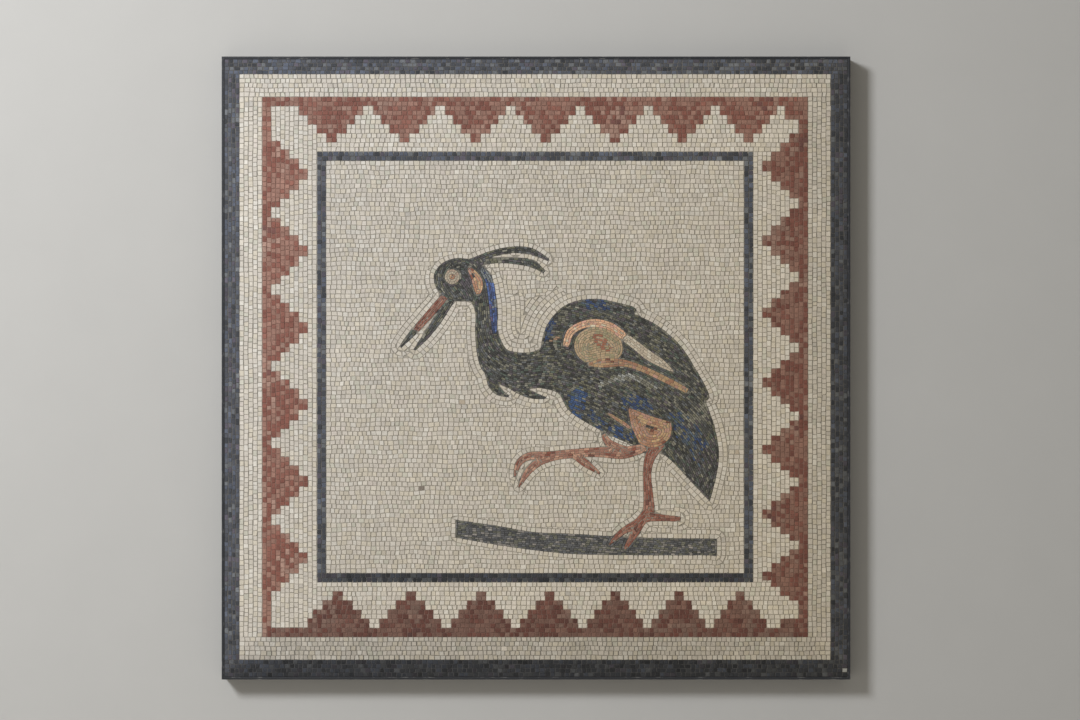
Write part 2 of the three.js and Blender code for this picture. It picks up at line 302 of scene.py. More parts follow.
# %% Remember where stones already lie
class Bench:
    """Which spots of an area are covered by stones already."""

    def __init__(self, outlines, step=0.8):
        points = np.concatenate(outlines)
        self.low, self.step = points.min(0) - 10, step
        self.taken = np.zeros(np.ceil((points.max(0) - self.low + 10) / step).astype(int), bool)
        self.inside = np.zeros(self.taken.shape, bool)
        for outline in outlines:
            self.inside[self.under(outline)] ^= True

    def under(self, polygon):
        """The grid cells that a polygon covers."""
        first = np.floor((polygon.min(0) - self.low) / self.step).astype(int)
        last = np.ceil((polygon.max(0) - self.low) / self.step).astype(int)
        i, j = np.mgrid[first[0] : last[0] + 1, first[1] : last[1] + 1]
        x, z = self.low[0] + i * self.step, self.low[1] + j[:1] * self.step
        inside = np.zeros(x.shape, bool)
        for (x0, z0), (x1, z1) in zip(polygon, np.roll(polygon, -1, 0)):
            if z0 != z1:
                level = (z0 > z) != (z1 > z)
                inside ^= level & (x < x0 + (z - z0) * (x1 - x0) / (z1 - z0))
        return i[inside], j[inside]

    def lay(self, polygon, overlap=0.3):
        """Covers a polygon's spots and says so, unless more than the overlap is covered already."""
        cells = self.under(polygon)
        if len(cells[0]) == 0 or self.taken[cells].mean() > overlap:
            return False
        self.taken[cells] = True
        return True

    def holes(self):
        """The open spots of each hole that is wider than a joint."""
        free = self.inside & ~self.taken
        wide = free.copy()
        for axis in (0, 1):
            wide &= np.roll(wide, 1, axis) & np.roll(wide, -1, axis)
        left = set(map(tuple, np.argwhere(wide)))
        found = []
        for first in sorted(left):
            if first not in left:
                continue
            left.discard(first)
            hole = [first]
            for i, j in hole:
                for cell in ((i + 1, j), (i - 1, j), (i, j + 1), (i, j - 1)):
                    if cell in left:
                        left.discard(cell)
                        hole.append(cell)
            found.append(self.low + np.array(hole) * self.step)
        return found


square = np.array([(0.0, 0.0), (20.0, 0.0), (20.0, 20.0), (0.0, 20.0)])
print("spots on a bench for a square of 20 mm:", Bench([square]).inside.sum())

# %% [markdown]
# ## Filling the holes
# The maker nips stones to fit what stays open. Each hole is shared out among stones of about the usual
# size: middles are strewn in it, every spot goes to the nearest one, and the middles move to the middle of
# their spots until they are even. A stone is then drawn with a few corners round its share.

# %% Cut stones to fit the holes
CROWDING = 1.5
EVENING_ROUNDS = 6
FILLER_CORNERS = 6
SMALLEST_HOLE = 0.1


def fillers(bench, size, chance):
    """Polygons cut to fit the holes of a bench, of about a size."""
    laid = []
    for spots in bench.holes():
        stones = len(spots) * bench.step**2 / size**2
        if stones < SMALLEST_HOLE:
            continue
        middles = spots[chance.integers(len(spots), size=max(1, round(CROWDING * stones)))]
        for _ in range(EVENING_ROUNDS):
            owner = np.hypot(*(spots[:, None] - middles).transpose(2, 0, 1)).argmin(1)
            shares = [spots[owner == k] for k in range(len(middles))]
            middles = np.array([share.mean(0) if len(share) else middle
                                for share, middle in zip(shares, middles)])
        for share in shares:
            if len(share):
                turns = np.arange(FILLER_CORNERS) * math.tau / FILLER_CORNERS + chance.uniform(0, 1)
                ways = np.stack([np.cos(turns), np.sin(turns)])
                laid.append(share[(share @ ways).argmax(0)] + ways.T * bench.step * 1.2)
    return laid


print("stones to fill a square of 20 mm:", len(fillers(Bench([square]), 6.5, seeded())))

# %% [markdown]
# ## Rows that follow an outline
# Legs, beak, stripes and eye are filled with rows that start at the outline and go inward until they
# meet. The last row's stones stop where they meet the row from the other side: there the distance to
# the outline no longer grows, which is how `room_inward` finds the place.

# %% Fill an area with rows that follow its outline
def unit(ways):
    """Directions made one long."""
    return ways / np.maximum(np.hypot(*ways.T), 1e-6)[:, None]


def away_from(area):
    """Gives the direction from an area's outline to each point."""
    return lambda points: unit(points - area.nearest(points))


def room_inward(area, width, most):
    """Gives how far stones may reach from their row's middle, up to the most there is."""

    def reach(points, away):
        depth = area.depth(points)
        room = np.zeros(len(points))
        open_still = np.ones(len(points), bool)
        for way in np.linspace(0, width, 9)[1:]:
            open_still &= area.depth(points + away * way) > depth + way * 0.8 - 0.05
            room[open_still] = way
        return np.where(room >= width * 0.99, width / 2, np.minimum(room, most * width))

    return reach


def rows_inside(area, width, length, chance, rows=99):
    """Polygons of the rows that follow an area's outline, the outer ones first."""
    spots = grid_over(area.low - 3, area.high + 3, min(2.0, width / 3))
    depth = over(spots, area.depth)
    polygons = []
    for row in range(rows):
        lines = level_lines(spots, depth, (row + 0.5) * width - JOINT / 2)
        if not lines:
            break
        for line, closed in lines:
            reach = room_inward(area, width, 1.0)
            polygons += stones_along(line, closed, width, length, chance, away_from(area), reach)
    return polygons


leg = Area(front_outlines("bird_leg_standing"))
leg_stones = rows_inside(leg, 3.7, 7.5, seeded())
print("stones in rows of 3.7 mm in the standing leg:", len(leg_stones))

# %% [markdown]
# ## The outline of a stone
# No two hand-cut stones are alike. Each polygon gives up half a joint along every edge, more at some of
# its upright edges, where a stone came out short. Now and then a corner is chipped off, and the corners
# that are left wander a little. Slivers too thin to hold in the mortar are left out.

# %% Cut the outline of each stone
THIN = 0.45
TOO_THIN = 0.28


def chipped(polygon, chance):
    """A polygon that has lost one corner."""
    k = chance.integers(len(polygon))
    corner, before, after = polygon[k], polygon[k - 1], polygon[(k + 1) % len(polygon)]
    cuts = [corner + (before - corner) * chance.uniform(0.12, 0.28)]
    cuts.append(corner + (after - corner) * chance.uniform(0.12, 0.28))
    return np.concatenate([polygon[:k], cuts, polygon[k + 1 :]])


def moved_in(rings, distance):
    """Rings of corners moved inwards by one distance, or by one for each edge."""
    edge = np.roll(rings, -1, 1) - rings
    edge = edge / np.maximum(np.linalg.norm(edge, axis=2, keepdims=True), 1e-6)
    inward = np.stack([-edge[:, :, 1], edge[:, :, 0]], 2)
    before = np.roll(inward, 1, 1)
    turn = (inward * before).sum(2, keepdims=True)
    own = np.broadcast_to(distance, turn.shape)
    last = np.roll(own, 1, 1)
    together = (own + last) / 2 * (inward + before) / np.maximum(1 + turn, 0.45)
    return rings + together + (own - last) / 2 * (inward - before) / np.maximum(1 - turn, 0.25)


def half_joints(polygon, chance, joint, open_ends):
    """Half the width of the joint at each edge of a stone, wider at some of its upright edges."""
    edge = np.roll(polygon, -1, 0) - polygon
    upright = np.abs(edge[:, 1]) > np.abs(edge[:, 0])
    widths = joint / 2 * chance.uniform(0.6, 1.4, len(polygon)) * np.where(upright, 1.15, 0.8)
    return widths + open_ends * (upright & (chance.random(len(polygon)) < 0.28))


def set_apart(polygons, chance, joint, ragged, chips, open_ends=0.0):
    """Stones as they are cut: a joint between them, ragged outlines, some chipped corners."""
    stones = []
    for polygon in polygons:
        if surface(polygon) < 0:
            polygon = polygon[::-1]
        if chance.random() < chips and len(polygon) < 6:
            polygon = chipped(polygon, chance)
        stone = moved_in(polygon[None], half_joints(polygon, chance, joint, open_ends)[None, :, None])[0]
        around = np.hypot(*(np.roll(stone, -1, 0) - stone).T).sum()
        if surface(stone) > THIN * around:
            stones.append(stone + chance.uniform(-ragged, ragged, stone.shape))
        elif surface(stone) > TOO_THIN * around:
            stones.append(stone)
    return stones


print("a chipped square has", len(chipped(square, seeded())), "corners")

# %% [markdown]
# ## Stone by stone: the block
# A cut stone is a small block: a flat-ish face with softly broken edges and sides that taper a little
# towards the back. Each outline becomes such a block. Its face lies up to half a millimetre deep and leans
# a little, which makes the surface twinkle under a low light. Three numbers go with every stone as mesh
# attributes for the materials: `pick` chooses its colour in the material's palette, `shade` makes it
# lighter or darker, and `rim` is 1 on the broken edges and sides. The map called OFBake lays the faces out
# flat, sides just outside them, for anyone who paints the piece.

# %% Make blocks of stone from flat outlines
STONE_FACE = -35.0
STONE_BACK = -27.3
BROKEN_EDGE = 0.35
DEEPEST_FACE = 0.45
LEAN = 0.022
TAPER = 0.93


def mesh_of(name, corners, faces, **marks):
    """A mesh from corners in mm, with marks as attributes of its corners."""
    mesh = bpy.data.meshes.new(name)
    mesh.from_pydata((np.array(corners) / 1000).tolist(), [], faces)
    for mark, values in marks.items():
        mesh.attributes.new(mark, "FLOAT", "POINT").data.foreach_set("value", values)
    return mesh


def lie_flat(mesh, flat):
    """Gives a mesh the map OFBake from a flat place for each of its corners."""
    spread = (flat - flat.min(0)) / np.ptp(flat, axis=0)
    used = np.zeros(len(mesh.loops), int)
    mesh.loops.foreach_get("vertex_index", used)
    mesh.uv_layers.new(name="OFBake").uv.foreach_set("vector", spread[used].ravel())


def block_faces(count):
    """The faces of a block whose back, rim and face are rings of this many corners."""
    here = np.arange(count)
    there = (here + 1) % count
    faces = [here[::-1].tolist(), (here + 2 * count).tolist()]
    for low in (0, count):
        high = low + count
        faces += np.stack([there + high, here + high, here + low, there + low], 1).tolist()
    return faces


def laid_blocks(name, stones, picks, shades, chance):
    """One mesh of stone blocks from their outlines, with what the materials read."""
    corners, faces, marks, flat = [], [], [], []
    base = 0
    for count in sorted({len(stone) for stone in stones}):
        which = [k for k in range(len(stones)) if len(stones[k]) == count]
        rings = np.array([stones[k] for k in which])
        middle = rings.mean(1, keepdims=True)
        sunk = chance.uniform(0.02, DEEPEST_FACE, (len(which), 1))
        lean = chance.normal(0, LEAN, (len(which), 1, 2))
        face_rings = moved_in(rings, BROKEN_EDGE)
        back_rings = middle + (rings - middle) * TAPER
        face_y = STONE_FACE + np.maximum(sunk + ((face_rings - middle) * lean).sum(2), 0.01)
        rim_y = face_y + BROKEN_EDGE * chance.uniform(0.7, 1.3, face_y.shape)
        back_y = np.full(face_y.shape, STONE_BACK)
        layers = [(back_rings, back_y), (rings, rim_y), (face_rings, face_y)]
        block = [np.stack([ring[:, :, 0], y, ring[:, :, 1]], 2) for ring, y in layers]
        corners.append(np.stack(block, 1).reshape(-1, 3))
        flat.append(np.stack([moved_in(rings, -0.3), rings, face_rings], 1).reshape(-1, 2))
        own = np.stack([np.array(picks)[which], np.array(shades)[which]], 1)
        own = np.repeat(own, 3 * count, 0)
        rim = np.tile(np.repeat([1.0, 1.0, 0.0], count), len(which))
        marks.append(np.column_stack([own, rim]))
        for _ in which:
            faces += [[index + base for index in face] for face in block_faces(count)]
            base += 3 * count
    pick, shade, rim = np.concatenate(marks).T
    mesh = mesh_of(name, np.concatenate(corners), faces, pick=pick, shade=shade, rim=rim)
    lie_flat(mesh, np.concatenate(flat))
    return mesh


print("faces of a stone with four corners:", len(block_faces(4)))

# %% [markdown]
# ## Palettes
# A maker sorts stones in boxes by colour, and takes from two or three boxes for one area so that it
# doesn't look painted. A palette here is such a set of boxes: a name, a colour and how often it is
# taken. `pick` holds the box, as a place along a colour ramp that the material makes from the palette.
# Cream stone comes in batches, so its boxes follow a slow drift over the panel plus chance.

# %% Choose a colour for every stone
def rgba(code):
    """The linear colour of a six-figure code, as a shader takes it."""
    parts = [int(code[k : k + 2], 16) / 255 for k in (0, 2, 4)]
    return (*[c / 12.92 if c <= 0.04045 else ((c + 0.055) / 1.055) ** 2.4 for c in parts], 1.0)


PALETTES = {
    "cream_stone": [("rosy", "cfc4b8", 3), ("warm", "cfc6b7", 5), ("plain", "cdc4b7", 7),
                    ("sandy", "ccc2b0", 3), ("pale", "d3ccc0", 3), ("greenish", "c6c1b1", 2),
                    ("grey", "c3bcb1", 2), ("tan", "bcae9a", 1), ("soiled", "84796e", 0)],
    "charcoal_stone": [("slate", "4e5057", 6), ("blue grey", "565b67", 4), ("charcoal", "3d3f44", 4),
                       ("grey", "696b6e", 2.5), ("purple grey", "57525c", 1.6), ("white", "f2f2ee", 0)],
    "brick_red_stone": [("brick", "8f5d4f", 5), ("dusty", "997263", 5), ("rust", "835144", 4),
                        ("pink brown", "a38273", 3), ("dark", "734b44", 2), ("sand", "b1a18d", 0.3)],
    "plumage_stone": [("charcoal", "53534e", 7), ("olive", "686654", 6), ("slate", "636464", 5),
                      ("grey", "7a776b", 4), ("purple", "5c5558", 3), ("black", "3f3e3a", 6),
                      ("ash", "878476", 1.1), ("green", "596258", 2), ("steel", "56616e", 0),
                      ("blue", "3b4a6c", 0), ("bright blue", "435a82", 0), ("peach", "a6886f", 0),
                      ("silver", "9d9d97", 0)],
    "blue_stone": [("blue", "4a577f", 5), ("deep", "3e4868", 3), ("bright", "5a6ea1", 3),
                   ("violet", "635772", 1), ("steel", "7a7e7f", 0)],
    "ochre_stone": [("ochre", "b29270", 6), ("gold", "b99a73", 3), ("sienna", "a4795f", 4),
                    ("clay", "b08977", 3), ("russet", "74493a", 0), ("dark", "3f3a38", 0)],
    "peach_stone": [("peach", "c8a385", 5), ("apricot", "c39677", 3), ("rose", "bd9281", 3),
                    ("cream", "c6bba3", 1.5), ("bone", "afa28e", 0), ("dull rose", "a7917f", 0)],
    "tan_stone": [("tan", "ab9475", 5), ("olive", "998f70", 4), ("buff", "b79f80", 4),
                  ("russet", "9a644d", 0.3)],
    "terracotta_stone": [("terracotta", "905e4f", 5), ("pink brown", "9d7262", 4), ("rust", "865142", 3),
                         ("brown", "724b41", 2), ("rosy", "b88f79", 0)],
    "ground_stone": [("slate", "626264", 5), ("olive", "6a695d", 4), ("charcoal", "505051", 3),
                     ("grey", "7f7b76", 2), ("ash", "938d87", 0.8)],
}


def box_of(slot, name):
    """The pick of one box of a palette."""
    names = [box[0] for box in PALETTES[slot]]
    return (names.index(name) + 0.5) / len(names)


def drift(spots, size, turn=0.0):
    """A slow, even drift between about -1 and 1 over the panel."""
    x, z = (spots / size).T
    waves = np.sin(2.1 * x + 1.3 * z + turn) + np.sin(-1.4 * x + 2.6 * z + 2 * turn + 1.1)
    return (waves + np.sin(3.7 * x - 0.8 * z + 0.5 - turn)) / 3


def chosen_boxes(slot, middles, chance, batches, uneven):
    """A pick and a shade for each stone of an area."""
    share = np.array([box[2] for box in PALETTES[slot]], float)
    bounds = np.cumsum(share) / share.sum()
    draw = chance.random(len(middles))
    draw = draw * (1 - batches) + batches * (0.5 + 0.5 * drift(middles, 45, 3))
    picks = (np.minimum(np.searchsorted(bounds, draw), len(share) - 1) + 0.5) / len(share)
    shades = 1 + uneven * chance.normal(0, 1, len(middles)) + 0.03 * drift(middles, 110, 1)
    return picks, np.clip(shades, 0.6, 1.35)


print("palettes:", {slot: len(boxes) for slot, boxes in PALETTES.items()})

# %% [markdown]
# ## Straight courses
# The borders and the open field are laid in courses, like brickwork without a bond. The course lines
# drift a little, as a line set by eye does, and come straight again at the edges of the area, where a
# batten held them. In the border with the stepped triangles a course is cut wherever it crosses from
# red to cream, and the stones between two cuts share the length out among them.

# %% Lay straight courses over a rectangle
COURSE = 7.3
STONE_LENGTH = 7.9
SHORTEST = 2
SLANT = 0.6


def straight_courses(low, high, chance, upright=False, cuts=None, wander=0.8, course=COURSE):
    """Polygons of courses over a rectangle, level or upright. cuts(middle) gives the places where the
    course with that middle line has to be cut."""
    along, across = (1, 0) if upright else (0, 1)
    count = max(1, round((high[across] - low[across]) / course))
    width = (high[across] - low[across]) / count

    def line(k, marks):
        spots = np.zeros((len(marks), 2))
        spots[:, along] = marks
        spots[:, across] = low[across] + k * width
        if 0 < k < count:
            spots[:, across] += wander * drift(spots, 31, 2 + upright)
        return spots

    polygons = []
    for k in range(count):
        first, last = low[along], high[along]
        found = cuts(low[across] + (k + 0.5) * width) if cuts else []
        ends = sorted([first, last, *[c for c in found if first + SHORTEST < c < last - SHORTEST]])
        ends = [e for n, e in enumerate(ends) if n == 0 or e - ends[n - 1] > SHORTEST]
        marks = [first + uneven_marks(b - a, STONE_LENGTH, chance) + a - first
                 for a, b in zip(ends, ends[1:])]
        marks = np.concatenate([marks[0]] + [part[1:] for part in marks[1:]])
        tilt = chance.uniform(-SLANT, SLANT, (2, len(marks)))
        tilt[:, np.isin(marks, ends)] = 0
        tilt[:, [0, -1]] = 0
        polygons += between(line(k, marks + tilt[0]), line(k + 1, marks + tilt[1]))
    return polygons


def middles_of(polygons):
    """The middle of each polygon."""
    return np.array([polygon.mean(0) for polygon in polygons])


trial = straight_courses((0, 0), (100, 100), seeded())
print("stones in a square of 100 mm:", len(trial))

# %% [markdown]
# ## Bands
# A square band is four strips. The top and bottom strips run through to the corners and the side strips
# fit between them. Half a joint is added all round, because every stone gives up half a joint when it
# is set apart from its neighbours.

# %% Lay the plain bands
def laid_band(node, chance, course):
    """Polygons of a plain band: its top, bottom, left and right strips."""
    outer, inner = front_outlines(node)[:2]
    (x0, z0), (x1, z1) = box_round(outer, JOINT / 2)
    (u0, w0), (u1, w1) = box_round(inner, -JOINT / 2)
    strips = [((x0, w1), (x1, z1), False), ((x0, z0), (x1, w0), False),
              ((x0, w0), (u0, w1), True), ((u1, w0), (x1, w1), True)]
    return [polygon for low, high, upright in strips
            for polygon in straight_courses(low, high, chance, upright, course=course)]


BORDER_COURSE = 6.1
layouts = {}
for number, node in enumerate(("outer_border", "outer_cream_band", "border_line")):
    course = BORDER_COURSE if node == "outer_border" else COURSE
    layouts[node] = laid_band(node, seeded(number), course)
    print(node, len(layouts[node]), "stones")

# %% [markdown]
# ## The stepped triangles
# Red triangles with stepped sides stand all round on a red line, and the cream between them belongs to
# the band inside. Both are laid together, because a course runs through red and cream alike. On the
# left the upright courses run the full height; at the other sides the level courses take the corners.

# %% Lay the stepped border and the cream between its triangles
red_area = Area(front_outlines("stepped_border"))


def crossings(level, across):
    """Where the outline of the red area crosses a level or upright line."""
    start, end = red_area.start, red_area.start + red_area.edge
    crosses = (start[:, across] > level) != (end[:, across] > level)
    share = (level - start[crosses, across]) / red_area.edge[crosses, across]
    return start[crosses, 1 - across] + share * red_area.edge[crosses, 1 - across]


def laid_steps(chance):
    """Polygons of the whole stepped zone."""
    (x0, z0), (x1, z1) = box_round(red_area.start, JOINT / 2)
    (u0, w0), (u1, w1) = box_round(front_outlines("border_line")[0], JOINT / 2)
    strips = [((x0, z0), (u0, z1), True), ((u0, w1), (x1, z1), False),
              ((u0, z0), (x1, w0), False), ((u1, w0), (x1, w1), True)]
    polygons = []
    for low, high, upright in strips:
        across = 0 if upright else 1
        polygons += straight_courses(low, high, chance, upright, lambda m, a=across: crossings(m, a), 0.5)
    return polygons


stepped = laid_steps(seeded(5))
red = red_area.holds(middles_of(stepped))
layouts["stepped_border"] = [polygon for polygon, is_red in zip(stepped, red) if is_red]
layouts["inner_cream_band"] = [polygon for polygon, is_red in zip(stepped, red) if not is_red]
print("red", len(layouts["stepped_border"]), "and cream", len(layouts["inner_cream_band"]), "stones")

# %% [markdown]
# ## The field
# The open ground is level courses, but round the figure the maker first lays a row or more that follow
# it, so that the outline reads crisply. Between neck and back the rows go on until they meet. After
# that the level courses come up to the last of these rows and are nipped to fit.

# %% Lay the cream field round the bird
NEAR = 60
MOST_ROWS = 7
SMALLEST_CUT = 0.22
figure = Area(front_outlines("field")[1:], outside=True)


def part_way(area, points):
    """Points as parts of the width and height of an area."""
    return (points - area.low) / (area.high - area.low)


def rows_round(spots):
    """How many rows follow the figure at spots of the field."""
    u, v = part_way(body_area, figure.nearest(spots)).T
    rows = np.where(v > 0.9, 1, 2)
    between = (part_way(body_area, spots)[:, 0] > 0.17) & (u > 0.15) & (u < 0.47) & (v > 0.53) & (v < 0.8)
    rows = np.where(between, MOST_ROWS, rows)
    return np.where(v < 0.3, np.where(u > 0.84, 2, 1), rows)


def laid_field(chance):
    """Polygons of the field: rows round the figure, then level courses."""
    low, high = box_round(front_outlines("field")[0], JOINT / 2)
    bench = Bench(front_outlines("field"))
    laid = []
    spots = grid_over(figure.low - NEAR, figure.high + NEAR, 2.0)
    depth = over(spots, figure.depth)
    reach = room_inward(figure, COURSE, 0.5)
    for row in range(MOST_ROWS):
        for path, closed in level_lines(spots, depth, (row + 0.5) * COURSE - JOINT / 2):
            stones = stones_along(path, closed, COURSE, STONE_LENGTH, chance, away_from(figure), reach)
            wanted = rows_round(middles_of(stones)) > row
            laid += [stone for stone, keep in zip(stones, wanted) if keep and bench.lay(stone)]
    near = len(laid)
    level = straight_courses(low, high, chance, wander=1.5)
    close = figure.depth(middles_of(level)) < NEAR
    for polygon, check in zip(level, close):
        if check:
            values = figure.depth(polygon) - rows_round(polygon) * COURSE + JOINT / 2
            polygon = nipped(polygon, values)
            too_small = len(polygon) < 3 or surface(polygon) < SMALLEST_CUT * COURSE * STONE_LENGTH
            if too_small or not bench.lay(polygon):
                continue
        else:
            bench.lay(polygon, 1.0)
        laid.append(polygon)
    fitted = fillers(bench, 6.5, chance)
    print("field:", near, "round the figure,", len(laid) - near, "in courses,", len(fitted), "cut to fit")
    return laid + fitted


layouts["field"] = laid_field(seeded(6))

# %% [markdown]
# ## The bird
# The bird is laid in slivers about half as wide as the field's stones. Small parts are all rows that
# follow their own outline. The plumage has one such row, and inside it the slivers follow a guide line
# that runs from the head down the neck and through the body to the tail, as feathers do. The same is
# done for the bar that the bird stands on. A guide is a few marks, as parts of the area's width and
# height, joined by an even curve.

# %% Draw the guide lines
GUIDES = {
    "bird_body": [(0.094, 0.88), (0.14, 0.8), (0.152, 0.68), (0.19, 0.575), (0.29, 0.505), (0.42, 0.51),
                  (0.57, 0.46), (0.72, 0.375), (0.85, 0.25), (0.93, 0.1), (0.96, -0.02)],
    "ground_bar": [(-0.01, 0.83), (0.25, 0.7), (0.5, 0.56), (0.8, 0.38), (1.01, 0.2)],
}


def smooth_guide(marks):
    """A guide line through marks, drawn with evenly turning curves."""
    marks = np.array(marks)
    bends = np.linspace(0, len(marks) - 1, 12 * len(marks))
    k = np.clip(bends.astype(int), 0, len(marks) - 2)
    t = (bends - k)[:, None]
    padded = np.concatenate([[2 * marks[0] - marks[1]], marks, [2 * marks[-1] - marks[-2]]])
    a, b, c, d = (padded[k + n] for n in range(4))
    return 0.5 * (2 * b + (c - a) * t + (2 * a - 5 * b + 4 * c - d) * t**2 + (3 * b - a - 3 * c + d) * t**3)


def beside_guide(guide, spots):
    """How far each spot lies from a guide line, below zero on its right."""
    start, edge = guide[:-1], np.diff(guide, axis=0)
    ways, numbers = nearest_edges(start, edge, spots)
    away = spots - start[numbers]
    side = edge[numbers, 0] * away[:, 1] - edge[numbers, 1] * away[:, 0]
    return np.copysign(np.hypot(*ways.T), side)


plumage_guide = smooth_guide(GUIDES["bird_body"]) * (body_area.high - body_area.low)
guide_length = np.hypot(*np.diff(plumage_guide, axis=0).T).sum()
print("the guide line through the plumage is", guide_length.round(), "mm long")

# %% [markdown]
# ## Slivers along the guide
# The slivers stand square to the direction in which the distance from the guide grows. A sliver that
# reaches into the row round the outline is nipped, and dropped if little of it is left.

# %% Lay the bird's body and the ground along their guide lines
SLIVER = 3.1
SLIVER_LENGTH = 6.2
SHORT_STEP = 0.4


def laid_along_guide(node, chance):
    """Polygons of an area with one row round it and rows along its guide line inside."""
    area = Area(front_outlines(node))
    bench = Bench(front_outlines(node), 0.6)
    edging = rows_inside(area, SLIVER, SLIVER_LENGTH, chance, rows=1)
    laid = [stone for stone in edging if bench.lay(stone, 0.4)]
    guide = area.low + smooth_guide(GUIDES[node]) * (area.high - area.low)
    spots = grid_over(area.low - 3, area.high + 3, 1.25)
    values = over(spots, lambda points: beside_guide(guide, points))
    inside = values[over(spots, area.depth) > SLIVER * 0.9]

    def up_slope(points):
        steps = SHORT_STEP * np.array([(1, 0), (-1, 0), (0, 1), (0, -1)])
        right, left, above, below = (beside_guide(guide, points + step) for step in steps)
        return unit(np.stack([right - left, above - below], 1))

    def half_row(points, away):
        return np.full(len(points), SLIVER / 2)

    for row in range(math.floor(inside.min() / SLIVER), math.ceil(inside.max() / SLIVER)):
        for path, closed in level_lines(spots, values, (row + 0.5) * SLIVER):
            path = path[::-1] if chance.random() < 0.5 and not closed else path
            for stone in stones_along(path, closed, SLIVER, SLIVER_LENGTH, chance, up_slope, half_row):
                depth = area.depth(stone) - SLIVER + JOINT / 2
                if depth.max() <= 0:
                    continue
                stone = nipped(stone, depth)
                if surface(stone) < 0:
                    stone = stone[::-1]
                if len(stone) > 2 and surface(stone) > 0.3 * SLIVER * SLIVER_LENGTH and bench.lay(stone):
                    laid.append(stone)
    return laid + fillers(bench, 4.6, chance)


for number, node in enumerate(("bird_body", "ground_bar")):
    layouts[node] = laid_along_guide(node, seeded(10 + number))
    print(node, len(layouts[node]), "slivers")

# %% [markdown]
# ## The small parts
# Legs, beak, stripes, eye and the small patches of field are narrow, so rows that follow the outline fill
# them. For each part the width of a row and the length of a stone are named in millimetres, finer for the
# eye than for the legs.

# %% Lay the small parts of the bird in rows round their outlines
ROWS = {
    "field_under_belly": (3.2, 6.5), "field_between_toes": (3.2, 5.0),
    "bird_nape_stripe": (3.6, 7.0), "bird_cheek": (3.4, 7.0), "bird_eye_pupil": (3.3, 3.6),
    "bird_eye_ring": (3.6, 4.2), "bird_beak_upper": (3.4, 8.0), "bird_beak_tip": (3.4, 7.0),
    "bird_beak_lower": (3.4, 8.0), "bird_shoulder_band": (3.7, 7.0), "bird_shoulder_patch": (3.5, 6.5),
    "bird_wing_stripe_cream": (3.7, 7.0), "bird_wing_stripe_ochre": (3.7, 7.5),
    "bird_flank_stripe": (2.6, 7.0), "bird_thigh": (3.8, 6.5), "bird_leg_raised": (3.7, 8.0),
    "bird_leg_standing": (3.7, 8.0),
}
for number, (node, (width, length)) in enumerate(ROWS.items()):
    outlines = front_outlines(node)
    bench = Bench(outlines, 0.4)
    chance = seeded(30 + number)
    rows = rows_inside(Area(outlines), width, length, chance)
    layouts[node] = [stone for stone in rows if bench.lay(stone, 0.35)] + fillers(bench, width, chance)
    print(node, len(layouts[node]), "stones")

# %% [markdown]
# ## Tools for materials
# A material is a small machine of nodes. A few helpers keep the cells short: `wire` sets or links
# inputs, `placed` adds a node, `mark` and `position` read the mesh, and the next five are the nodes used
# most. The last two open what nodes go into. A node group has named inputs and outputs: it holds what
# several materials share and gives out colours and values only.

# %% Place nodes and open groups
def wire(tree, sockets, values):
    """Sets each named or numbered input to its value, or links it to a node's output."""
    for name, value in values.items():
        if isinstance(value, bpy.types.NodeSocket):
            tree.links.new(value, sockets[name])
        else:
            sockets[name].default_value = value


def placed(tree, kind, inputs=None, **settings):
    """A new node with its settings and inputs."""
    node = tree.nodes.new(kind)
    for setting, value in settings.items():
        setattr(node, setting, value)
    wire(tree, node.inputs, inputs or {})
    return node


def mark(tree, name):
    """The value of a mesh attribute."""
    return placed(tree, "ShaderNodeAttribute", attribute_name=name).outputs["Fac"]


def position(tree):
    """The place on the panel, in metres."""
    return placed(tree, "ShaderNodeNewGeometry").outputs["Position"]


def sums(tree, operation, first, second=0.0, third=0.0, clamp=False):
    """The output of a Math node."""
    inputs = {0: first, 1: second, 2: third}
    return placed(tree, "ShaderNodeMath", inputs, operation=operation, use_clamp=clamp).outputs[0]


def mixed(tree, share, first, second, blend="MIX"):
    """The output of a colour mix."""
    inputs = {0: share, 6: first, 7: second}
    node = placed(tree, "ShaderNodeMix", inputs, data_type="RGBA", blend_type=blend, clamp_factor=True)
    return node.outputs[2]


def noise(tree, place, scale, detail=3.0, roughness=0.6):
    """The output of a noise at a number of waves to the metre."""
    inputs = {"Vector": place, "Scale": scale, "Detail": detail, "Roughness": roughness}
    return placed(tree, "ShaderNodeTexNoise", inputs).outputs["Fac"]


def ranged(tree, value, low, high, lowest):
    """A value stretched so that low gives the lowest and high gives 1."""
    return placed(tree, "ShaderNodeMapRange", {0: value, 1: low, 2: high, 3: lowest, 4: 1.0}).outputs[0]


def bumped(tree, height, strength, distance):
    """The normal of a bump."""
    inputs = {"Height": height, "Strength": strength, "Distance": distance}
    return placed(tree, "ShaderNodeBump", inputs).outputs["Normal"]


def opened_group(name, inputs, outputs):
    """A new node group, with the sockets that give its inputs and those that take its outputs."""
    tree = bpy.data.node_groups.new(name, "ShaderNodeTree")
    for label, value in inputs.items():
        kind = "NodeSocketFloat" if isinstance(value, float) else "NodeSocketColor"
        tree.interface.new_socket(label, in_out="INPUT", socket_type=kind).default_value = value
    for label, kind in outputs.items():
        tree.interface.new_socket(label, in_out="OUTPUT", socket_type="NodeSocket" + kind)
    return tree, tree.nodes.new("NodeGroupInput").outputs, tree.nodes.new("NodeGroupOutput").inputs


def opened_material(name):
    """A new material, its node tree and the inputs of its shader."""
    material = bpy.data.materials.new(name)
    material.use_nodes = True
    return material, material.node_tree, material.node_tree.nodes["Principled BSDF"].inputs


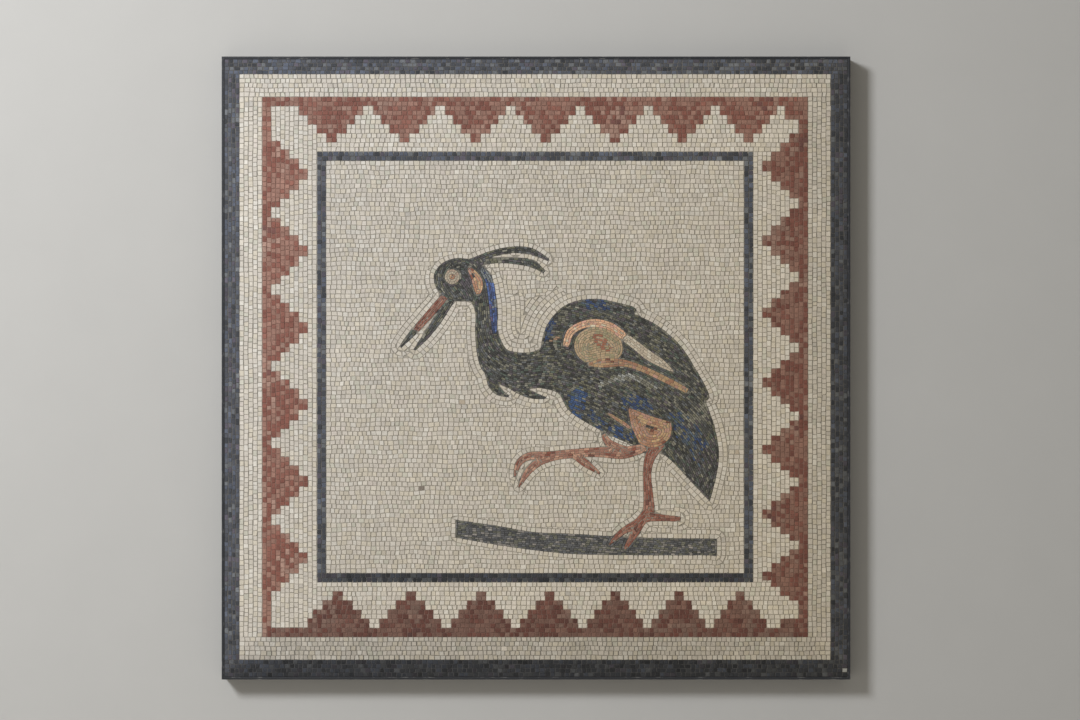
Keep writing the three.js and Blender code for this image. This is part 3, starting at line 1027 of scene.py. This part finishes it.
GREY = (0.5, 0.5, 0.5, 1.0)
tools = (wire, placed, mark, position, sums, mixed, noise, ranged, bumped, opened_group, opened_material)
print("tools:", ", ".join(tool.__name__ for tool in tools))

# %% [markdown]
# ## Cut stone
# A cut face is matt and fine-grained. Under a glass it shows pale and dark specks, cloudy patches and
# small pits. All of that is one group, since every stone of the panel has it, only stronger or weaker.
# The grain is shifted by the stone's own `pick` and `shade`, so it doesn't run on from stone to stone.

# %% The group "Cut stone"
def make_cut_stone():
    inputs = {"Colour": GREY, "Speckle": 0.3, "Cloud": 0.2, "Pits": 0.25}
    outputs = {"Colour": "Color", "Roughness": "Float", "Height": "Float"}
    tree, given, out = opened_group("Cut stone", inputs, outputs)
    pick, shade = mark(tree, "pick"), mark(tree, "shade")
    own = sums(tree, "MULTIPLY", sums(tree, "ADD", pick, sums(tree, "MULTIPLY", shade, 7.0)), 3.1)
    shift = {0: position(tree), 1: own}
    place = placed(tree, "ShaderNodeVectorMath", shift, operation="ADD").outputs[0]
    grain = noise(tree, place, 1100.0, 3.0, 0.7)
    cloud = noise(tree, place, 210.0, 2.0, 0.5)
    pits = ranged(tree, noise(tree, place, 620.0, 1.0, 0.5), 0.3, 0.42, 0.0)
    swing = sums(tree, "MULTIPLY", sums(tree, "SUBTRACT", grain, 0.5), given["Speckle"])
    slow = sums(tree, "MULTIPLY", sums(tree, "SUBTRACT", cloud, 0.5), given["Cloud"])
    light = sums(tree, "ADD", sums(tree, "MULTIPLY_ADD", swing, 2.0, slow), 1.0)
    light = sums(tree, "MULTIPLY", light, shade)
    dark_pits = sums(tree, "MULTIPLY", sums(tree, "SUBTRACT", 1.0, pits), given["Pits"])
    light = sums(tree, "MULTIPLY", light, sums(tree, "SUBTRACT", 1.0, dark_pits))
    wire(tree, out, {
        "Colour": mixed(tree, 1.0, given["Colour"], light, "MULTIPLY"),
        "Roughness": sums(tree, "MULTIPLY_ADD", grain, 0.25, 0.55, clamp=True),
        "Height": sums(tree, "MULTIPLY_ADD", grain, 0.4, sums(tree, "MULTIPLY_ADD", pits, 0.8, cloud)),
    })
    return tree


cut_stone = make_cut_stone()
print(cut_stone.name, "nodes:", len(cut_stone.nodes))

# %% [markdown]
# ## Mortar haze
# After grouting, a film of mortar stays in the pores and on the broken edges. It is strongest at the
# rim of each stone and comes and goes in patches. On dark stones it reads as a pale bloom, on cream
# ones as a grey line, so the same group serves both.

# %% The group "Mortar haze"
def make_mortar_haze():
    inputs = {"Colour": GREY, "Haze colour": rgba("7d776c"), "Rim": 0.5, "Film": 0.1}
    tree, given, out = opened_group("Mortar haze", inputs, {"Colour": "Color", "Haze": "Float"})
    patches = ranged(tree, noise(tree, position(tree), 90.0), 0.35, 0.7, 0.3)
    film = sums(tree, "MULTIPLY", patches, given["Film"])
    edge = sums(tree, "MULTIPLY", mark(tree, "rim"), given["Rim"])
    haze = sums(tree, "MULTIPLY_ADD", edge, sums(tree, "MULTIPLY_ADD", patches, 0.4, 0.6), film, clamp=True)
    wire(tree, out, {"Colour": mixed(tree, haze, given["Colour"], given["Haze colour"]), "Haze": haze})
    return tree


mortar_haze = make_mortar_haze()
print(mortar_haze.name, "nodes:", len(mortar_haze.nodes))

# %% [markdown]
# ## Painted warm shade
# A warm, darker tint stands in for the light, which falls weaker and warmer towards the lower right:
# painted shade. The group reads the place on the panel in metres, and its mask runs from nothing at the
# upper left to full at the lower right.

# %% The group "Painted warm shade"
def make_painted_warm_shade():
    inputs = {"Colour": GREY, "Warm shade colour": (1.0, 0.945, 0.83, 1.0), "Strength": 1.0}
    tree, given, out = opened_group("Painted warm shade", inputs, {"Colour": "Color", "Warm shade": "Float"})
    # Painted shade: a warm, darker tint by place on the panel, strongest at the lower right.
    parts = placed(tree, "ShaderNodeSeparateXYZ", {0: position(tree)}).outputs
    across = sums(tree, "MULTIPLY_ADD", parts["X"], 0.95, 0.42)
    warm_shade = sums(tree, "MULTIPLY_ADD", parts["Z"], -0.45, across, clamp=True)
    warm_shade = sums(tree, "MULTIPLY", warm_shade, given["Strength"])
    tinted = mixed(tree, 1.0, given["Colour"], given["Warm shade colour"], "MULTIPLY")
    wire(tree, out, {"Colour": mixed(tree, warm_shade, given["Colour"], tinted), "Warm shade": warm_shade})
    return tree


def under_painted_warm_shade(tree, colour):
    """A colour under the painted warm shade."""
    inputs = {"Colour": colour, "Strength": 1.0}
    return placed(tree, "ShaderNodeGroup", inputs, node_tree=painted_warm_shade).outputs["Colour"]


painted_warm_shade = make_painted_warm_shade()
print(painted_warm_shade.name, "nodes:", len(painted_warm_shade.nodes))

# %% [markdown]
# ## Stone materials
# Each slot gets its own material: the palette as a stepped colour ramp read by `pick`, then the cut
# stone, then the haze and the painted warm shade, then the shader. Stone is no mirror, so the reflection
# stays weak and broad. A look names, in this order, how strong the stone's speckle, cloud and pits are, how
# strong the haze is on the rim and over the face, and the colour of the haze.

# %% Make a material for each palette
PALE_HAZE = "8a8478"
STONE_LOOK = {
    "cream_stone": (0.14, 0.2, 0.13, 0.3, 0.05, PALE_HAZE),
    "charcoal_stone": (0.5, 0.5, 0.25, 0.3, 0.1, "55534f"),
    "brick_red_stone": (0.35, 0.6, 0.2, 0.3, 0.1, "6d5a50"),
    "plumage_stone": (0.6, 0.6, 0.25, 0.25, 0.06, "4a4a45"),
    "blue_stone": (0.5, 0.5, 0.25, 0.2, 0.04, "3e4350"),
    "ochre_stone": (0.3, 0.5, 0.2, 0.25, 0.05, PALE_HAZE),
    "peach_stone": (0.25, 0.4, 0.2, 0.25, 0.05, PALE_HAZE),
    "tan_stone": (0.3, 0.5, 0.2, 0.25, 0.05, PALE_HAZE),
    "terracotta_stone": (0.3, 0.5, 0.2, 0.25, 0.06, "6b5448"),
    "ground_stone": (0.5, 0.5, 0.25, 0.25, 0.08, "55544d"),
}


def palette_ramp(tree, boxes):
    """The colour that `pick` chooses from a palette."""
    node = placed(tree, "ShaderNodeValToRGB", {"Fac": mark(tree, "pick")})
    node.color_ramp.interpolation = "CONSTANT"
    steps = node.color_ramp.elements
    for k, box in enumerate(boxes):
        step = steps[k] if k < 1 else steps.new(k / len(boxes))
        step.color = rgba(box[1])
    steps.remove(steps[-1])
    return node.outputs["Color"]


def stone_material(slot):
    """The material of one palette."""
    speckle, cloud, pits, rim, film, haze_code = STONE_LOOK[slot]
    material, tree, shader = opened_material(slot)
    look = {"Colour": palette_ramp(tree, PALETTES[slot]), "Speckle": speckle, "Cloud": cloud, "Pits": pits}
    stone = placed(tree, "ShaderNodeGroup", look, node_tree=cut_stone).outputs
    look = {"Colour": stone["Colour"], "Haze colour": rgba(haze_code), "Rim": rim, "Film": film}
    haze = placed(tree, "ShaderNodeGroup", look, node_tree=mortar_haze).outputs
    wire(tree, shader, {
        # The painted warm shade darkens and warms the stone towards the lower right.
        "Base Color": under_painted_warm_shade(tree, haze["Colour"]),
        "Roughness": stone["Roughness"],
        "Normal": bumped(tree, stone["Height"], 0.6, 0.0002),
        "Specular IOR Level": 0.35,
    })
    return material


materials = {slot: stone_material(slot) for slot in PALETTES}
print("stone materials:", len(materials))

# %% [markdown]
# ## Colour patches
# The plumage is a salt-and-pepper mix, but some feathers stand out: blue at the breast and tail, a grey
# streak on the wing, green between the wing stripes, pale flecks at the tail's edge. Other areas have a few
# odd stones too, such as a soiled one in the field. A patch is an ellipse: its middle and half its width
# and height as parts of the area, its turn in degrees, how often its boxes are taken, and the boxes.

# %% Name the patches of colour in each area
PATCHES = {
    "bird_body": [
        ((0.50, 0.38), (0.03, 0.055), -15, 0.72, ("blue", "bright blue", "bright blue", "steel")),
        ((0.71, 0.375), (0.05, 0.03), -20, 0.5, ("blue", "blue", "steel")),
        ((0.665, 0.27), (0.033, 0.028), -45, 0.45, ("blue", "bright blue", "blue")),
        ((0.585, 0.31), (0.05, 0.022), -40, 0.45, ("steel", "blue", "blue")),
        ((0.885, 0.285), (0.065, 0.04), -45, 0.45, ("blue", "steel", "blue")),
        ((0.935, 0.2), (0.03, 0.06), 10, 0.3, ("blue", "steel")),
        ((0.57, 0.775), (0.045, 0.02), -10, 0.75, ("steel", "blue", "blue")),
        ((0.405, 0.68), (0.014, 0.05), -10, 0.8, ("blue", "steel", "blue")),
        ((0.607, 0.467), (0.034, 0.011), 24, 0.8, ("silver", "ash", "grey")),
        ((0.672, 0.485), (0.045, 0.012), 2, 0.95, ("silver", "silver", "ash")),
        ((0.74, 0.465), (0.04, 0.011), -24, 0.8, ("silver", "ash", "grey")),
        ((0.80, 0.505), (0.04, 0.03), -45, 0.8, ("green", "green", "slate")),
        ((0.93, 0.345), (0.03, 0.06), -60, 0.65, ("ash", "grey")),
        ((0.42, 0.655), (0.02, 0.05), 0, 0.18, ("peach", "ash")),
        ((0.435, 0.475), (0.018, 0.022), -40, 0.4, ("peach", "ash", "grey")),
        ((0.62, 0.33), (0.12, 0.10), 0, 0.08, ("ash", "grey")),
        ((0.115, 0.865), (0.03, 0.02), 0, 0.5, ("purple", "purple")),
        ((0.95, 0.1), (0.06, 0.12), -30, 0.5, ("purple", "black", "charcoal")),
    ],
    "bird_nape_stripe": [((0.35, 0.93), (0.5, 0.14), 0, 0.95, ("steel",)),
                         ((0.6, 0.55), (0.5, 0.16), 0, 0.4, ("steel", "bright"))],
    "bird_thigh": [((0.48, 0.52), (0.09, 0.035), -15, 0.95, ("dark",)),
                   ((0.25, 0.2), (0.3, 0.3), 0, 0.7, ("clay", "sienna")),
                   ((0.5, 0.5), (0.7, 0.7), 0, 0.12, ("russet", "sienna", "sienna"))],
    "bird_cheek": [((0.1, 0.6), (0.2, 0.45), 0, 0.5, ("dark", "russet", "clay"))],
    "bird_wing_stripe_cream": [((0.5, 0.5), (0.8, 0.8), 0, 1.0, ("tan", "tan", "sandy"))],
    "bird_wing_stripe_ochre": [((0.12, 0.97), (0.22, 0.03), -4, 0.45, ("russet", "sienna")),
                               ((0.7, 0.35), (0.4, 0.3), 0, 0.35, ("sienna", "ochre"))],
    "bird_leg_raised": [((0.5, 0.5), (0.9, 0.9), 0, 0.75, ("rosy", "pink brown"))],
    "bird_shoulder_patch": [((0.55, 0.6), (0.26, 0.1), -45, 0.8, ("russet",))],
    "bird_eye_pupil": [((0.5, 0.5), (0.5, 0.5), 0, 0.6, ("russet", "sienna"))],
    "bird_eye_ring": [((0.5, 0.5), (0.8, 0.8), 0, 1.0, ("bone", "bone", "dull rose"))],
    "outer_border": [((0.997, 0.0095), (0.004, 0.0035), 0, 1.0, ("white",))],
    "field_under_belly": [((0.5, 0.5), (0.9, 0.9), 0, 1.0, ("pale",))],
    "field": [((0.2265, 0.208), (0.007, 0.007), 0, 1.0, ("soiled",))],
}


def with_patches(node, slot, middles, picks, chance):
    """The picks of an area with its patches of colour put in."""
    area = Area(front_outlines(node))
    place = part_way(area, middles)
    size = (area.high - area.low) / (area.high - area.low).max()
    for centre, radii, turn, often, names in PATCHES.get(node, []):
        away = (place - centre) * size
        cos, sin = math.cos(math.radians(turn)), math.sin(math.radians(turn))
        turned = np.stack([away[:, 0] * cos + away[:, 1] * sin, away[:, 1] * cos - away[:, 0] * sin], 1)
        reach = np.hypot(*(turned / radii).T)
        inside = (reach < 1.15) & (chance.random(len(place)) < often * np.clip(2.4 - 1.6 * reach, 0, 1))
        named = chance.integers(len(names), size=len(place))
        values = np.array([box_of(slot, name) for name in names])
        picks = np.where(inside, values[named], picks)
    return picks


print("patches of colour:", sum(len(patches) for patches in PATCHES.values()))

# %% [markdown]
# ## Light and dark
# Stones of one box still differ: each slot has its own unevenness. A few areas are a little lighter or
# darker than their palette. The borders are also painted darker towards the bottom and the right, the
# sides away from the lamp: painted shade. Each of those bands has a shade for its top, bottom, left and
# right, blended at the corners.

# %% Shade the areas and their sides
UNEVEN = {"cream_stone": 0.05, "plumage_stone": 0.14, "charcoal_stone": 0.17, "ground_stone": 0.14,
          "tan_stone": 0.05, "brick_red_stone": 0.07}
LIGHTER = {"field": 0.95, "bird_cheek": 1.2, "bird_shoulder_band": 1.15, "outer_border": 0.97,
           "border_line": 0.95, "bird_wing_stripe_ochre": 0.92, "bird_thigh": 1.08}
# Painted shade: each band is darker towards the bottom and the right, away from the lamp; shades for top,
# bottom, left, right.
PAINTED_SHADE_SIDES = {"outer_border": (0.99, 0.28, 1.05, 0.64), "outer_cream_band": (0.97, 0.75, 1.06, 0.86),
            "stepped_border": (0.9, 0.53, 1.02, 0.75), "border_line": (0.98, 0.46, 1.0, 0.97)}
CORNER_BLEND = 15
EXTRA_UNEVEN = 0.11


def painted_shade_of_sides(node, middles):
    """The painted shade of a band's stones, blended from that of its four sides."""
    low, high = middles.min(0), middles.max(0)
    gaps = np.stack([high[1] - middles[:, 1], middles[:, 1] - low[1],
                     middles[:, 0] - low[0], high[0] - middles[:, 0]], 1) + CORNER_BLEND
    weights = gaps**-3.0
    return (weights * PAINTED_SHADE_SIDES[node]).sum(1) / weights.sum(1)


def shaded(node, middles, shades, chance):
    """The shades of an area's stones, with the painted shade of its sides."""
    shades = shades * LIGHTER.get(node, 1.0)
    if node not in PAINTED_SHADE_SIDES:
        return shades
    sides = painted_shade_of_sides(node, middles)
    return shades * sides + EXTRA_UNEVEN * np.clip(1 - sides, 0, 1) * chance.normal(0, 1, len(middles))


print("bands with darkened sides:", ", ".join(PAINTED_SHADE_SIDES))

# %% [markdown]
# ## Lay every area
# Now each area becomes one piece: its polygons are set apart, coloured and made into blocks. The bird's
# slivers stand closer and cleaner than the stones of the ground. The piece rides with the panel, takes the
# place of the solid it dresses, which is hidden, and gets the material of that solid's slot.

# %% Make the pieces of stone
BATCHES = {"cream_stone": 0.35, "brick_red_stone": 0.55}
RAGGED = {"cream_stone": 0.25, "brick_red_stone": 0.25, "charcoal_stone": 0.25}
FINE_CUT = {"joint": 0.42, "ragged": 0.17, "chips": 0.03}
COARSE_CUT = {"joint": 0.8, "ragged": 0.2, "chips": 0.09, "open_ends": 0.32}
slot_of = {part["node"]: part["material_slot"] for part in frame["record"]["subparts"]}


def dressed(mesh, node):
    """A mesh put in the scene as the piece that stands for a solid."""
    piece = bpy.data.objects.new(mesh.name, mesh)
    bpy.context.scene.collection.objects.link(piece)
    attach(piece, "root")
    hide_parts(node)


stone_count = 0
for number, (node, polygons) in enumerate(sorted(layouts.items())):
    chance = seeded(60 + number)
    slot = slot_of[node]
    fine = node.startswith("bird") or node == "ground_bar"
    cut = FINE_CUT if fine else {**COARSE_CUT, "ragged": RAGGED.get(slot, COARSE_CUT["ragged"])}
    stones = set_apart(polygons, chance, **cut)
    middles = middles_of(stones)
    picks, shades = chosen_boxes(slot, middles, chance, BATCHES.get(slot, 0.0), UNEVEN.get(slot, 0.09))
    picks = with_patches(node, slot, middles, picks, chance)
    shades = shaded(node, middles, shades, chance)
    mesh = laid_blocks("laid_" + node, stones, picks, shades, chance)
    mesh.materials.append(materials[slot])
    dressed(mesh, node)
    stone_count += len(stones)
    print(f"{mesh.name}: {len(stones)} stones, {sum(len(p.vertices) - 2 for p in mesh.polygons)} triangles")
print("stones in all:", stone_count)

# %% [markdown]
# ## How the grout is toned
# What shows between the stones is the grout. Round dark stones it was toned dark, and the paler parts of
# the bird kept it light. In the borders the tone follows the stones, and with them the painted shade of the
# band's sides, so the grout there is painted darker towards the bottom and the right: painted shade. The
# tone is named as the tone beside black stones, and how much of it goes as they get lighter.

# %% Tone the grout
TONED = {"outer_border": (1.05, 0.35), "border_line": (1.05, 0.35),
         "stepped_border": (0.6, 0.6), "outer_cream_band": (1.15, 1.0)}
DARK_SLOTS = ("plumage_stone", "blue_stone")
FIGURE_TONE = 0.95
PALE_TONE = 0.12
GROUT_OVER = 0.4


def toned_grout(spots):
    """How far the grout is toned towards dark at spots of the front."""
    toned = np.zeros(len(spots))
    for node, (most, less) in TONED.items():
        area = Area(front_outlines(node))
        inside = area.holds(spots)
        # In the bands the grout is painted darker with the painted shade of their sides.
        toned[inside] = most - less * painted_shade_of_sides(node, spots[inside])
        if node == "outer_border":
            toned[((spots < area.low) | (spots > area.high)).any(1)] = 1.0
    toned[Area(front_outlines("field")[1:]).holds(spots)] = FIGURE_TONE
    for node in ROWS:
        if slot_of[node] not in DARK_SLOTS:
            toned[Area(front_outlines(node)).depth(spots) > -GROUT_OVER] = PALE_TONE
    return toned


print("bands with grout toned by their sides:", ", ".join(TONED))

# %% [markdown]
# ## The mortar
# The stones stand in a bed of cement mortar, and the grout is its front: a matt, sandy, slightly sunken
# line. It is one slab whose front swells and sinks a few tenths of a millimetre. Marks say to the material
# where the grout is toned dark, and where it is red, between red stones. Its back is the plain cast back of
# the panel, seen only when it is off the wall.

# %% Cast the mortar
GROUT_LEVEL = -34.15
GROUT_STEP = 3.3
SWELL = 0.12
GRIT = 0.05


def cast_mortar(chance):
    """The mesh of the mortar: a gently uneven front, straight sides and a flat back."""
    low, high = (np.array(corner)[[0, 2]] * 1000 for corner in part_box("mortar_slab"))
    count = np.ceil((high - low) / GROUT_STEP).astype(int)
    xs, zs = (np.linspace(low[k], high[k], count[k] + 1) for k in (0, 1))
    spots = np.stack(np.meshgrid(xs, zs, indexing="ij"), -1)
    uneven = SWELL * over(spots, lambda places: drift(places, 12))
    uneven += chance.normal(0, GRIT, uneven.shape)
    front = np.stack([spots[..., 0], GROUT_LEVEL + uneven, spots[..., 1]], -1).reshape(-1, 3)
    number = np.arange(uneven.size).reshape(uneven.shape)
    faces = np.stack([number[:-1, :-1], number[1:, :-1], number[1:, 1:], number[:-1, 1:]], -1)
    rim = np.concatenate([number[:, 0], number[-1, 1:], number[-2::-1, -1], number[0, -2:0:-1]])
    back = front[rim] * (1, 0, 1)
    ring = np.arange(len(rim))
    after = (ring + 1) % len(rim)
    sides = np.stack([rim[after], rim[ring], ring + len(front), after + len(front)], 1)
    cap = [(ring[::-1] + len(front)).tolist()]
    places, none = front[:, [0, 2]], np.zeros(len(back))
    toned = np.concatenate([toned_grout(places), none])
    reddened = np.concatenate([red_area.holds(places), none])
    corners = np.concatenate([front, back])
    faces = faces.reshape(-1, 4).tolist() + sides.tolist() + cap
    return mesh_of("mortar", corners, faces, toned=toned, reddened=reddened)


mortar = cast_mortar(seeded(90))
dressed(mortar, "mortar_slab")
print("mortar:", len(mortar.polygons), "faces")

# %% [markdown]
# ## Sandy grout
# The finish is noise in three sizes: sand grains, crumbs, and slow stains where water dried. The
# grains are also the height of a bump.

# %% The mortar's material
def mortar_material():
    material, tree, shader = opened_material("mortar")
    place = position(tree)
    sand = noise(tree, place, 1500.0, 2.0, 0.8)
    crumbs = noise(tree, place, 380.0, 3.0)
    stains = noise(tree, place, 14.0, 4.0)
    light = sums(tree, "MULTIPLY_ADD", sand, 0.5, sums(tree, "MULTIPLY_ADD", crumbs, 0.5, 0.5))
    colour = mixed(tree, stains, rgba("898277"), rgba("a19b8f"))
    colour = mixed(tree, mark(tree, "reddened"), colour, rgba("8b6a5e"))
    colour = mixed(tree, mark(tree, "toned"), colour, rgba("464648"))
    wire(tree, shader, {
        # The painted warm shade darkens and warms the grout towards the lower right.
        "Base Color": under_painted_warm_shade(tree, mixed(tree, 1.0, colour, light, "MULTIPLY")),
        "Normal": bumped(tree, sums(tree, "ADD", sand, crumbs), 0.7, 0.0004),
        "Roughness": 0.95,
        "Specular IOR Level": 0.2,
    })
    return material


mortar.materials.append(mortar_material())
print("mortar material nodes:", len(mortar.materials[0].node_tree.nodes))

# %% [markdown]
# ## The metal edge
# A flat bar of dark metal goes round the panel and guards the outer stones. It is mitred at the corners.
# Its section is drawn once, with its two front edges eased, and carried round the four corners, so each
# mitre is a true diagonal.

# %% Bend the metal edge round the panel
EASED = 0.5
BESIDE = 0.6
ROUND = EASED * 0.3


def metal_edge():
    """The mesh of the edge, with a rim mark on the eased edges."""
    outer, inner = front_outlines("edge_frame")[:2]
    wall = (np.ptp(outer, axis=0) - np.ptp(inner, axis=0))[0] / 2
    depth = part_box("edge_frame")[0][1] * 1000
    section = [(0, 0, 0), (0, depth + 2, 0), (0, depth + EASED, 1), (ROUND, depth + ROUND, 1),
               (EASED, depth, 1), (EASED + BESIDE, depth, 0), (wall - EASED - BESIDE, depth, 0),
               (wall - EASED, depth, 1), (wall - ROUND, depth + ROUND, 1), (wall, depth + EASED, 1),
               (wall, depth + 2, 0), (wall, 0, 0)]
    low, high = outer.min(0), outer.max(0)
    corners, marks, faces = [], [], []
    for k, (inward, y, rim) in enumerate(section):
        (x0, z0), (x1, z1) = low + inward, high - inward
        corners += [(x0, y, z0), (x1, y, z0), (x1, y, z1), (x0, y, z1)]
        marks += [float(rim)] * 4
        n = (k + 1) % len(section)
        faces += [(4 * k + c, 4 * k + (c + 1) % 4, 4 * n + (c + 1) % 4, 4 * n + c) for c in range(4)]
    return mesh_of("metal_edge", corners, faces, rim=marks)


edge = metal_edge()
dressed(edge, "edge_frame")
print("metal edge:", len(edge.polygons), "faces")

# %% [markdown]
# ## Worn paint
# The bar is painted dark and satin. Where it is handled the paint has rubbed through to bare metal:
# along the eased edges in short runs, and at the corners. Metallic is 1 only where the metal is bare.

# %% The edge's material
def edge_material():
    material, tree, shader = opened_material("edge_metal")
    place = position(tree)
    runs = noise(tree, place, 60.0, 5.0, 0.7)
    bare = sums(tree, "MULTIPLY_ADD", runs, 6.0, -3.2, clamp=True)
    worn = sums(tree, "MULTIPLY", mark(tree, "rim"), bare, clamp=True)
    paint = mixed(tree, noise(tree, place, 25.0, 4.0), rgba("1e1f22"), rgba("2b2c30"))
    wire(tree, shader, {
        "Base Color": mixed(tree, worn, paint, rgba("9c9a95")),
        "Metallic": worn,
        "Roughness": sums(tree, "MULTIPLY_ADD", noise(tree, place, 400.0, 3.0), 0.3, 0.3),
        "Normal": bumped(tree, runs, 0.3, 0.0003),
    })
    return material


edge.materials.append(edge_material())
print("edge material nodes:", len(edge.materials[0].node_tree.nodes))

# %% [markdown]
# ## The room
# The panel hangs on a pale wall over a pale floor. From behind, the wall would hide the panel, so its
# material lets light through on that side: Backfacing tells the two sides apart. The wall also stops
# at the panel's outline, so that the back, which lies against it, gets some light.

# %% Make the wall and the floor
FLOOR = -1000.0
WALL = 0.5


def pale_material(name, code, see_through_behind=False):
    """Even plaster, which can be clear from behind."""
    material, tree, shader = opened_material(name)
    place = placed(tree, "ShaderNodeNewGeometry").outputs
    light = sums(tree, "MULTIPLY_ADD", noise(tree, place["Position"], 9.0, 5.0), 0.06, 0.97)
    wire(tree, shader, {"Base Color": mixed(tree, 1.0, rgba(code), light, "MULTIPLY"), "Roughness": 0.9})
    if see_through_behind:
        clear = placed(tree, "ShaderNodeBsdfTransparent").outputs[0]
        plaster = tree.nodes["Principled BSDF"].outputs[0]
        both = placed(tree, "ShaderNodeMixShader", {0: place["Backfacing"], 1: plaster, 2: clear})
        wire(tree, tree.nodes["Material Output"].inputs, {"Surface": both.outputs[0]})
    return material


def sheet_of_room(name, corners, faces, material):
    """A flat sheet that belongs to the room and not to the panel."""
    mesh = mesh_of(name, corners, faces)
    mesh.materials.append(material)
    sheet = bpy.data.objects.new(name, mesh)
    bpy.context.scene.collection.objects.link(sheet)


def rectangle(x0, z0, x1, z1):
    """The corners of a rectangle, anticlockwise."""
    return [(x0, z0), (x1, z0), (x1, z1), (x0, z1)]


low, high = (np.array(corner)[[0, 2]] * 998 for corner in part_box("edge_frame"))
wall_corners = [(x, WALL, z) for x, z in rectangle(-5000, FLOOR, 5000, 4000) + rectangle(*low, *high)]
wall_faces = [(k, (k + 1) % 4, (k + 1) % 4 + 4, k + 4) for k in range(4)]
floor_corners = [(x, y, FLOOR) for x, y in rectangle(-6000, -6000, 6000, 6000)]
sheet_of_room("wall", wall_corners, wall_faces, pale_material("wall", "b9b6b0", True))
sheet_of_room("floor", floor_corners, [(0, 1, 2, 3)], pale_material("floor", "c4c1bb"))
print("room: wall at", WALL, "mm, floor at", FLOOR, "mm")

# %% [markdown]
# ## Light
# One soft lamp stands up to the left in front of the panel. It is near enough for the upper left corner
# to be brighter than the lower right one, and it throws the panel's shadow down to the right. The
# surroundings fill the shadows.

# %% Set the lights
scene = bpy.context.scene
KEY_PLACE = Vector((-2.3, -2.6, 1.8))
key_data = bpy.data.lights.new("key", "AREA")
key_data.size, key_data.energy, key_data.color = 0.85, 132, (0.965, 1.005, 1.075)
key = bpy.data.objects.new("key", key_data)
scene.collection.objects.link(key)
key.location = KEY_PLACE
key.rotation_euler = (-KEY_PLACE).to_track_quat("-Z", "Y").to_euler()
scene.world = bpy.data.worlds.new("surroundings")
scene.world.use_nodes = True
wire(scene.world.node_tree, scene.world.node_tree.nodes["Background"].inputs,
     {"Color": (1.04, 1.005, 0.93, 1.0), "Strength": 0.3})
scene.view_settings.view_transform = "Standard"
print("key lamp:", key_data.energy, "W, from", round(KEY_PLACE.length, 2), "m")

# %% [markdown]
# ## Camera
# The panel is seen square on, from about four metres, through a lens long enough to keep its sides
# parallel.

# %% Place the camera
camera_data = bpy.data.cameras.new("camera")
camera_data.lens, camera_data.sensor_width = 85, 36
camera = bpy.data.objects.new("camera", camera_data)
scene.collection.objects.link(camera)
camera.location = (0.0064, -4.115, 0.0128)
camera.rotation_euler = (math.radians(90), 0, 0)
scene.camera = camera
print("camera:", camera_data.lens, "mm lens, from", -camera.location.y, "m")
